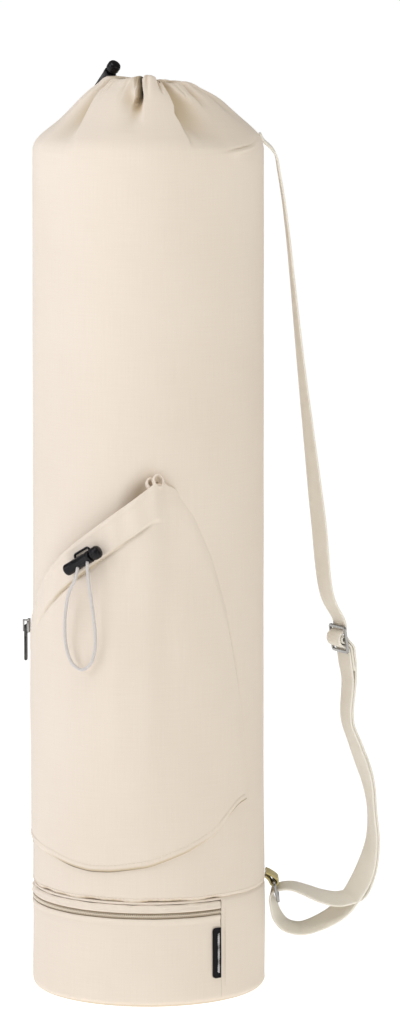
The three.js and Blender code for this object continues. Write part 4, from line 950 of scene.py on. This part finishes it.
# The front pocket is a slanted patch of the same canvas, sewn down at its sides and bottom. Its mouth has
# a wide hem, the channel of its own drawcord, whose open end stands up as a small roll at the right.
# By turn: its bottom edge and its right edge as shares of the shoulder's height, and how far it stands open.
pocket_bottom = [
    (-92, 0.18), (-75, 0.177), (-52.5, 0.17), (-40, 0.1634), (-29.4, 0.1604), (-18, 0.1616), (1, 0.169),
    (20, 0.186), (33.5, 0.2024), (42.5, 0.2225), (50, 0.235), (57, 0.2385),
]  # fmt: skip
pocket_right_edge = [
    (8.5, 0.631), (15.7, 0.609), (23.3, 0.584), (33, 0.535), (42, 0.47), (50, 0.388), (54.5, 0.31),
    (57, 0.252),
]  # fmt: skip
pocket_mouth = [
    (-92, 0), (-75, 0.06), (-62, 0.25), (-50, 0.55), (-38, 0.82), (-30, 0.9), (-14, 1), (0, 0.8),
    (6, 0.5), (10, 0.3), (25, 0.22), (42, 0.12), (57, 0),
]  # fmt: skip
# How dark the painted shade in the crease under the hem and the painted shadow along the bottom edge get, by
# turn.
pocket_crease = [(-70, 0), (-52, 0.25), (-37, 0.6), (-28, 0.6), (-22, 0.4), (-12, 0.26), (0, 0.12), (9, 0)]
pocket_edge_dark = [
    (-66, 0), (-52, 0.4), (-42, 1), (-18, 0.9), (2, 0.7), (22, 0.6), (32, 0.3), (41, 0.25), (47, 0.9),
    (57, 0.8),
]  # fmt: skip
pocket_swell, hem_width, pocket_wall, hem_wall = 0.010, 0.027, 0.0014, 0.0034
pocket_corner, pocket_right, mouth_low, mouth_high = 8.5, 57, 0.433, 0.631


def read_smooth(table, at, soften=2.5):
    """Reads a table at turns, with its corners softened over a few degrees."""
    xs, ys = np.array(table, float).T
    offsets = np.linspace(-soften, soften, 9)
    return np.mean([np.interp(at + o, xs, ys) for o in offsets], axis=0)


def pocket_top(turn):
    along = (turn - pocket_left) / (pocket_corner - pocket_left)
    slant = mouth_low + (mouth_high - mouth_low) * along
    edge = np.where(turn < pocket_corner, slant, np.interp(turn, *np.array(pocket_right_edge, float).T))
    return edge - 0.009 * bell((turn - pocket_corner) / 6)


def pocket_gap(turn, height, bottom, top):
    """How far the pocket's back stands off the tube."""
    share = np.clip((height - bottom) / (top - bottom), 0, 1)
    mouth = read_smooth(pocket_mouth, turn) * pocket_swell
    opened = 1 - (1 - share) ** 2.2
    closing = smoothstep((turn - 3.5) / 12)
    lift = opened * (1 - closing) + np.sin(math.pi * share) * closing
    gap = mouth * lift
    gap = gap * (1 - 0.2 * bell((turn + 27) / 7) * bell((height - 0.312) / 0.034))
    gap = gap * (1 - 0.15 * bell((turn + 6) / 12) * bell((height - 0.239) / 0.08))
    gap = gap + dent(turn, height, -23.5, 0.312, 3.4, 0.048, 0.0011, tilt=-70)
    gap = gap + dent(turn, height, -9, 0.345, 5, 0.03, 0.0007, tilt=120)
    gap = gap + 0.0006 * np.sin(np.radians(turn) * 9 + 38 * height) * np.sin(math.pi * share) * opened
    return 0.0003 + np.maximum(gap, 0)


pocket_turns = np.concatenate(
    [np.linspace(pocket_left, 4, 170), np.linspace(4.4, 15, 30), np.linspace(15.6, pocket_right, 70)]
)
outer_shares = np.concatenate(
    [np.linspace(0, 0.02, 4), np.linspace(0.03, 0.75, 66), np.linspace(0.757, 1, 42)]
)
bottom = read_smooth(pocket_bottom, pocket_turns) * shoulder_height
top = pocket_top(pocket_turns) * shoulder_height
hem_here = 1 - smoothstep((pocket_turns - 2.5) / 7)
right_side = smoothstep((pocket_turns - 9) / 8)
thin, tucked = smoothstep((pocket_turns + 78) / 40) * (1 - right_side), 0.0006 * right_side
rows, spread, shades = [], [], []
crease_dark = np.interp(pocket_turns, *np.array(pocket_crease).T)
edge_dark = np.interp(pocket_turns, *np.array(pocket_edge_dark).T)
for share in outer_shares:
    height = bottom + share * (top - bottom)
    below_top = top - height
    hem_depth = np.minimum(hem_width, 0.3 * (top - bottom))
    in_hem = smoothstep((hem_depth - below_top) / 0.0022 + 0.5) * hem_here
    thinned = 1 - (1 - thin) * smoothstep((0.018 - below_top) / 0.018)
    wall = (pocket_wall + (hem_wall - pocket_wall) * in_hem * thin) * (0.08 + 0.92 * thinned)
    stitch_line = bell((below_top - hem_depth - 0.0004) / 0.0022) * (1 - smoothstep((pocket_turns + 1) / 5))
    fold = 0.0005 * np.sin(pocket_turns * 0.55 + 60 * height) * in_hem
    edge = smoothstep((height - bottom) / 0.0016)
    lip = 0.0006 * bell((below_top - 0.0022) / 0.0024) * hem_here
    side_edge = bell((pocket_turns - pocket_right) / 1.6) * 0.7
    side_edge = side_edge + bell((pocket_turns - pocket_left) / 1.6) * 0.7
    ridge = 0.0002 * bell((height - bottom - 0.0028) / 0.003)
    away = pocket_gap(pocket_turns, height, bottom, top) + wall * (0.35 + 0.65 * edge) * (1 - side_edge * 0.7)
    away = away - 0.0014 * stitch_line * thin + fold + lip * thin + ridge
    # Painted shade in the crease under the hem, and painted shadow along the bottom edge.
    shades.append(crease_dark * stitch_line + edge_dark * bell((height - bottom) / 0.003))
    away = away - tucked * smoothstep((0.007 - below_top) / 0.007)
    rows.append(around(pocket_turns, tube_radius(height) + slack(pocket_turns, height) + away, height))
    spread.append((np.radians(pocket_turns) * 0.097, height))
top_gap = pocket_gap(pocket_turns, top, bottom, top)
top_wall = (pocket_wall + (hem_wall - pocket_wall) * hem_here * thin) * (0.08 + 0.92 * thin)
for angle in (25, 55, 90, 125, 155):
    c, s = math.cos(math.radians(angle)), math.sin(math.radians(angle))
    radius = tube_radius(top) + slack(pocket_turns, top) + top_gap + top_wall * (0.5 + 0.5 * c) - tucked
    rows.append(around(pocket_turns, radius, top + top_wall * 0.5 * s))
    spread.append((np.radians(pocket_turns) * 0.097, top + 0.002 * s))
for share in (1, 0.9, 0.75, 0.55, 0.3, 0.1, 0):
    height = bottom + share * (top - bottom)
    radius = tube_radius(height) + slack(pocket_turns, height) + pocket_gap(pocket_turns, height, bottom, top)
    rows.append(around(pocket_turns, radius - tucked, height))
    spread.append((np.radians(pocket_turns) * 0.097, height))
rows = np.array(rows).transpose(1, 0, 2)
spread = np.array([[u, v * np.ones_like(u)] for u, v in spread]).transpose(2, 0, 1)
spread = np.concatenate([spread, spread[:, :1]], axis=1)
pocket = grid_piece("pocket_cloth", rows, spread, round_columns=True)
shades += [0 * pocket_turns] * (rows.shape[1] - len(shades))
shaded(pocket, np.array(shades).T)
faced_out(pocket, ends=True)
finish_piece(pocket, canvas, "canvas", "front_pocket")


def pocket_face(turn, height):
    """Points on the pocket's face, for what is sewn on it."""
    low = read_smooth(pocket_bottom, turn) * shoulder_height
    high = pocket_top(turn) * shoulder_height
    in_hem = smoothstep((hem_width - (high - height)) / 0.0022 + 0.5) * (1 - smoothstep((turn - 8.5) / 4))
    away = pocket_gap(turn, height, low, high) + pocket_wall + (hem_wall - pocket_wall) * in_hem
    return around(turn, tube_radius(height) + slack(turn, height) + away, height)


hem_turns = np.linspace(-90, 1, 240)
hem_line = pocket_top(hem_turns) * shoulder_height - hem_width - 0.0006
hem_path = pocket_face(hem_turns, hem_line) - outward(hem_turns) * 0.0009
stitch_row("pocket_hem_stitches", hem_path, outward(hem_turns))
edge_turns = np.linspace(-90, 55.5, 340)
edge_line = read_smooth(pocket_bottom, edge_turns) * shoulder_height + 0.0052
edge_path = pocket_face(edge_turns, edge_line) + outward(edge_turns) * 0.0002
stitch_row("pocket_edge_stitches", edge_path, outward(edge_turns))
for name, curl_turn, height, off, half_wide, half_tall in [
    ("pocket_hem_end", 5.0, 0.4145, 0.0042, 0.0036, 0.005),
    ("pocket_hem_curl", 1.4, 0.4125, 0.002, 0.0027, 0.0038),
]:
    out, side, up = outward(curl_turn), around(curl_turn + 90, 1.0, 0.0), np.array([0.0, 0.0, 1.0])
    axis = out * 0.8 + up * 0.5 + side * 0.25
    axis /= np.linalg.norm(axis)
    wide_way = np.cross(up, axis)
    wide_way /= np.linalg.norm(wide_way)
    tall_way = np.cross(axis, wide_way)
    middle = around(curl_turn, tube_radius(height) + off, height)
    curl_rows = []
    angles = np.arange(36) * 2 * math.pi / 36
    for share in np.linspace(-1, 1, 15):
        flare = 1 + 0.16 * share**3 + 0.05 * np.sin(2 * angles + 1.2) + 0.03 * np.sin(5 * angles)
        flare = flare * math.sqrt(max(1 - ((share - 0.1) / 1.12) ** 4, 0) if share < 0.1 else 1)
        ring_points = middle + axis * share * 0.0026
        ring_points = ring_points + (np.cos(angles) * half_wide * flare)[:, None] * wide_way
        curl_rows.append(ring_points + (np.sin(angles) * half_tall * flare)[:, None] * tall_way)
    curl_rows = np.array(curl_rows)
    u, v = np.meshgrid(np.arange(15) * 0.0006, np.linspace(0, 0.028, 37), indexing="ij")
    curl_piece = grid_piece(name, curl_rows, np.stack([u, v], axis=2), round_columns=True)
    modified(curl_piece, "SOLIDIFY", thickness=0.0018, offset=0)
    modified(curl_piece, "SUBSURF", levels=1, render_levels=1)
    finish_piece(curl_piece, canvas, "canvas")

# The label is a short black woven tape, folded in at the seam and sewn down with one plain zigzag of pale
# thread.
black_tape = Finish("black_woven_tape", (0.006, 0.005, 0.007), 0.8, Specular_IOR_Level=0.2)
tape_height, tape_threads = woven(black_tape, 0.0004)
black_tape.bump(tape_height, 0.4, 0.0002)
tone = tape_threads.between(0.3, 0.8)
black_tape.feed("Base Color", tone.blend((0.003, 0.0025, 0.004, 1), (0.011, 0.009, 0.012, 1)))
label_turn, label_bottom, label_width, label_length, label_corner = 35.5, 0.0205, 0.0078, 0.040, 0.0024
label_rows = []
label_heights = np.linspace(label_bottom, label_bottom + label_length, 60)
for height in label_heights:
    inset = label_corner - min(height - label_bottom, label_bottom + label_length - height, label_corner)
    pulled = label_corner - math.sqrt(max(label_corner**2 - inset**2, 0))
    across_label = np.linspace(-label_width / 2 + pulled, label_width / 2, 17)
    at = label_turn + np.degrees(across_label / 0.0935)
    label_rows.append(around(at, tube_radius(height) + 0.0012 + 0.0001 * np.sin(200 * height), height))
label_rows = np.array(label_rows)
u, v = np.meshgrid(np.linspace(0, label_width, 17), label_heights)
label = grid_piece("blank_label", label_rows, np.stack([u, v], axis=2))
modified(label, "SOLIDIFY", thickness=0.0008, offset=-1)
finish_piece(label, black_tape, "label", "side_label", angle=40)
pale_thread = Finish("pale_thread", (0.62, 0.6, 0.62), 0.6, Sheen_Weight=0.2)
pale_thread.feed("Roughness", pale_thread.place.noise(1500, 1.0) * 0.3 + 0.45)
label_line = np.linspace(label_bottom + 0.004, label_bottom + label_length - 0.004, 45)
at = label_turn + 0.8 + 0.75 * np.where(np.arange(45) % 2, 1, -1)
stitch_row(
    "label_stitches", around(at, tube_radius(label_line) + 0.0013, label_line), outward(at),
    pitch=0.0024, thick=0.00045, slot="label", finish=pale_thread,
)  # fmt: skip

# The shoulder strap is one length of flat cream webbing. It leaves the gathered top, runs over the
# slider's middle bar, down and through the ring, and back up to the slider, where its end is folded round
# the bar and sewn.
webbing = Finish("cream_webbing", (0.82, 0.74, 0.63), 0.78, Sheen_Weight=0.22)


def webbing_weave(finish, dark, light):
    """Rows of raised ribs that lean one way and then the other across a tape."""
    rib = finish.along * (math.pi / 0.0011)
    lean = (finish.across * (math.pi / 0.0031)).maths("SINE") * 1.5
    ribs = ((rib + lean).maths("SINE")).maths("ABSOLUTE") ** 0.7
    threads = (finish.across * (math.pi / 0.00062)).maths("SINE").maths("ABSOLUTE")
    worn = finish.place.noise(60, 3.0)
    finish.bump(ribs * 0.7 + threads * 0.3 + worn * 0.2, 0.5, 0.0004)
    # Painted shade in the weave: the colour is lighter on the raised ribs and darker between them, over tone
    # that varies at random.
    finish.feed("Base Color", (ribs * 0.45 + worn * 0.55).between(0.2, 0.75).blend(dark, light))


webbing_weave(webbing, (0.84, 0.775, 0.66, 1), (0.94, 0.895, 0.8, 1))
# Places along the strap: x, y and z in millimetres, and the x and z of its front edge's direction.
strap_places = [
    (87.2, 8, 675.2, 0, 0), (90.3, 8, 669.6, 0, 0), (96.3, 8, 664, 0, 0), (100, 8, 657.8, 0.02, 0.01),
    (102.3, 8, 645.3, 0.03, 0.01), (106, 8, 622.9, 0.05, 0.01), (109.9, 8, 591.8, 0.07, 0.01),
    (113.2, 8, 560.1, 0.1, 0.01), (119.6, 8, 497.3, 0.19, 0.02), (126.8, 8, 433.9, 0.32, 0.04),
    (134.1, 8, 370.4, 0.44, 0.05), (141.4, 8, 309.5, 0.4, 0.08), (150.8, 8.9, 290.1, 0.37, 0.05),
    (151.3, 8.9, 285.9, 0.37, 0.05), (151.5, 8.9, 284, 0.37, 0.05), (149.6, 8, 281.8, 0.37, 0.05),
    (146.8, 6.8, 279.5, 0.37, 0.05), (146.1, 6.4, 277.5, 0.37, 0.05), (146.1, 6.2, 275.3, 0.37, 0.05),
    (146.7, 6.4, 273.1, 0.37, 0.05), (148, 6.8, 271.4, 0.37, 0.05), (151.3, 8, 269.9, 0.37, 0.05),
    (153.7, 8.9, 268.3, 0.37, 0.05), (154, 8.9, 266.5, 0.37, 0.05), (154.7, 8.9, 262.3, 0.37, 0.05),
    (155.5, 8.9, 256.4, 0.37, 0.05), (157.5, 8.9, 242.5, 0.37, 0.05), (156.5, 8, 210.6, 0.4, 0.04),
    (162.9, 8, 191.3, 0.41, 0.14), (168.5, 8, 175.7, 0.45, 0.15), (173.2, 8, 160.2, 0.47, 0.1),
    (176.2, 8, 139.7, 0.47, 0.04), (177.1, 8, 113.5, 0.47, -0.04), (171.9, 8, 89.3, 0.5, -0.17),
    (162.5, 8, 70.6, 0.5, -0.31), (152.1, 8, 56.9, 0.39, -0.44), (136.3, 8, 47, 0.23, -0.48),
    (120.3, 8, 42, 0.03, -0.44), (108.4, 8, 45.1, -0.17, -0.3), (102, 8, 52.6, -0.24, -0.13),
    (98.7, 8, 62.5, -0.17, -0.05), (97.2, 8, 67.6, -0.1, -0.01), (97.5, 8, 71.1, -0.05, 0.02),
    (99.1, 8, 73.9, 0, 0), (102.6, 8, 75.4, 0.01, -0.05), (108.3, 8, 76.5, 0.01, -0.1),
    (114.7, 8, 76.2, -0.04, -0.17), (124.2, 8, 73.1, -0.09, -0.26), (136.2, 8, 68.4, -0.12, -0.39),
    (148.1, 8, 65.9, -0.05, -0.53), (155.6, 8, 66.6, 0.05, -0.59), (164, 9.3, 69.7, 0.5, -0.31),
    (173.7, 9.1, 88.7, 0.5, -0.17), (179, 9, 113.4, 0.47, -0.04), (178.1, 9, 139.8, 0.47, 0.04),
    (175.1, 9, 160.6, 0.47, 0.1), (170.3, 9, 176.3, 0.45, 0.15), (164.7, 8.9, 191.9, 0.41, 0.14),
    (158.4, 8.9, 210.8, 0.4, 0.04), (159.8, 9.9, 242.9, 0.37, 0.05), (159.5, 10.5, 256.9, 0.37, 0.05),
    (158.4, 10.5, 264.9, 0.37, 0.05), (158.2, 10.7, 268.7, 0.37, 0.05), (156.4, 10.2, 272.1, 0.37, 0.05),
    (154, 9.3, 274.7, 0.37, 0.05), (152.3, 8.8, 277.2, 0.37, 0.05), (150.6, 8.2, 278.4, 0.37, 0.05),
    (149.4, 7.7, 278.3, 0.37, 0.05), (148.2, 7.1, 276.7, 0.37, 0.05), (148.5, 7.1, 274.5, 0.37, 0.05),
    (150, 7.7, 273.3, 0.37, 0.05), (151.7, 8.3, 273, 0.37, 0.05), (153.8, 9.1, 271.8, 0.37, 0.05),
    (155.6, 9.7, 269.3, 0.37, 0.05), (156.4, 9.7, 264.6, 0.37, 0.05), (157.5, 9.7, 256.7, 0.37, 0.05),
    (158.3, 9.7, 250.7, 0.37, 0.05),
]  # fmt: skip


def tape_piece(name, places, width, thick, finish, slot, *nodes):
    """Flat tape along places of x, y, z in metres and the x and z of its front edge's direction."""
    line = smooth_path(places, 0.0016)
    centre = line[:, :3]
    forward = -np.sqrt(np.clip(1 - line[:, 3] ** 2 - line[:, 4] ** 2, 0.1, 1))
    edges = np.stack([line[:, 3], forward, line[:, 4]], axis=1)
    steps = np.gradient(centre, axis=0)
    steps /= np.linalg.norm(steps, axis=1)[:, None]
    edges -= steps * np.sum(edges * steps, axis=1)[:, None]
    edges /= np.linalg.norm(edges, axis=1)[:, None]
    outs = np.cross(steps, edges)
    outline = [(-0.5, 0.0), (-0.49, 0.36), (-0.47, 0.5)]
    outline += [(share, 0.5) for share in (-0.35, -0.2, 0, 0.2, 0.35)]
    outline += [(0.47, 0.5), (0.49, 0.36), (0.5, 0.0), (0.49, -0.36), (0.47, -0.5)]
    outline += [(share, -0.5) for share in (0.35, 0.2, 0, -0.2, -0.35)]
    outline += [(-0.47, -0.5), (-0.49, -0.36)]
    rows = [
        [c + e * w * width + o * t * thick for w, t in outline] for c, e, o in zip(centre, edges, outs)
    ]
    run = np.append(0, np.cumsum(np.linalg.norm(np.diff(centre, axis=0), axis=1)))
    lap = np.array([*(w * width for w, t in outline), -0.5 * width])
    u, v = np.meshgrid(run, lap, indexing="ij")
    piece = grid_piece(name, np.array(rows), np.stack([u, v], axis=2), round_columns=True)
    faced_out(piece, ends=True)
    finish_piece(piece, finish, slot, *nodes, angle=60)


# The strap's hanging loop twists, so that it shows less of its face at some heights.
strap_twist = [
    (60, 1), (77, 1), (89, 1), (113, 0.65), (140, 0.38), (160, 0.6), (176, 0.75), (210, 0.72),
    (242, 0.9), (250, 1),
]  # fmt: skip
strap_rows = [
    (x / 1000, y / 1000, z / 1000, ex * np.interp(z, *np.array(strap_twist).T), ez * (0.5 if z < 77 else 1))
    for x, y, z, ex, ez in strap_places
]
tape_piece("webbing_strap", strap_rows, 0.025, 0.0018, webbing, "webbing", "shoulder_strap")

# The strap's slider and its ring are plated metal, a flat frame with a middle bar and a bent wire. Each is
# the CAD's own solid with its edges rounded.
bevelled_copy("slider_frame", "strap_slider", plated, 0.0005)
bevelled_copy("ring_frame", "strap_ring", plated, 0.0007)

# The tab is a short piece of olive webbing that holds the strap's ring. It is sewn in the seam and folded
# round the ring's upper bar.
olive_webbing = Finish("olive_webbing", (0.3, 0.24, 0.07), 0.8, Sheen_Weight=0.2)
webbing_weave(olive_webbing, (0.42, 0.34, 0.12, 1), (0.64, 0.55, 0.25, 1))
ring_x, ring_z = 0.0995, 0.0816
reach = math.hypot(0.0028, 0.0026) / 2 + 0.0003 + 0.0008
wall_x = side_radius + 0.0003 + 0.0008 + 0.0006
tab_places = [(wall_x, 0.008, ring_z + 0.0074, 0, 0), ((wall_x + ring_x) / 2, 0.008, ring_z + 0.006, 0, 0)]
for angle in (50, 28, 5, -20, -45, -70, -95, -120, -145):
    a = math.radians(angle)
    tab_places.append((ring_x + reach * math.cos(a), 0.008, ring_z + reach * math.sin(a), 0, 0))
tab_places.append((wall_x + 0.35 * (ring_x - wall_x), 0.008, ring_z + 0.002, 0, 0))
tab_places.append((wall_x, 0.008, ring_z + 0.0042, 0, 0))
tape_piece("olive_tab", tab_places, 0.022, 0.0016, olive_webbing, "olive", "ring_tab")

# The floor is plain and white, wide enough to fill the view. It glows, so that it stays white under the
# soft lamps.
bpy.ops.object.select_all(action="DESELECT")
bpy.ops.mesh.primitive_plane_add(size=120, location=(0, 0, -0.0002))
floor = bpy.context.object
floor.name = "floor"
floor_finish = Finish("white_floor", (0.5, 0.5, 0.5), 0.9, Emission_Strength=0.9)
floor_finish.shader.inputs["Emission Color"].default_value = (1, 1, 1, 1)
floor.data.materials.append(floor_finish.material)
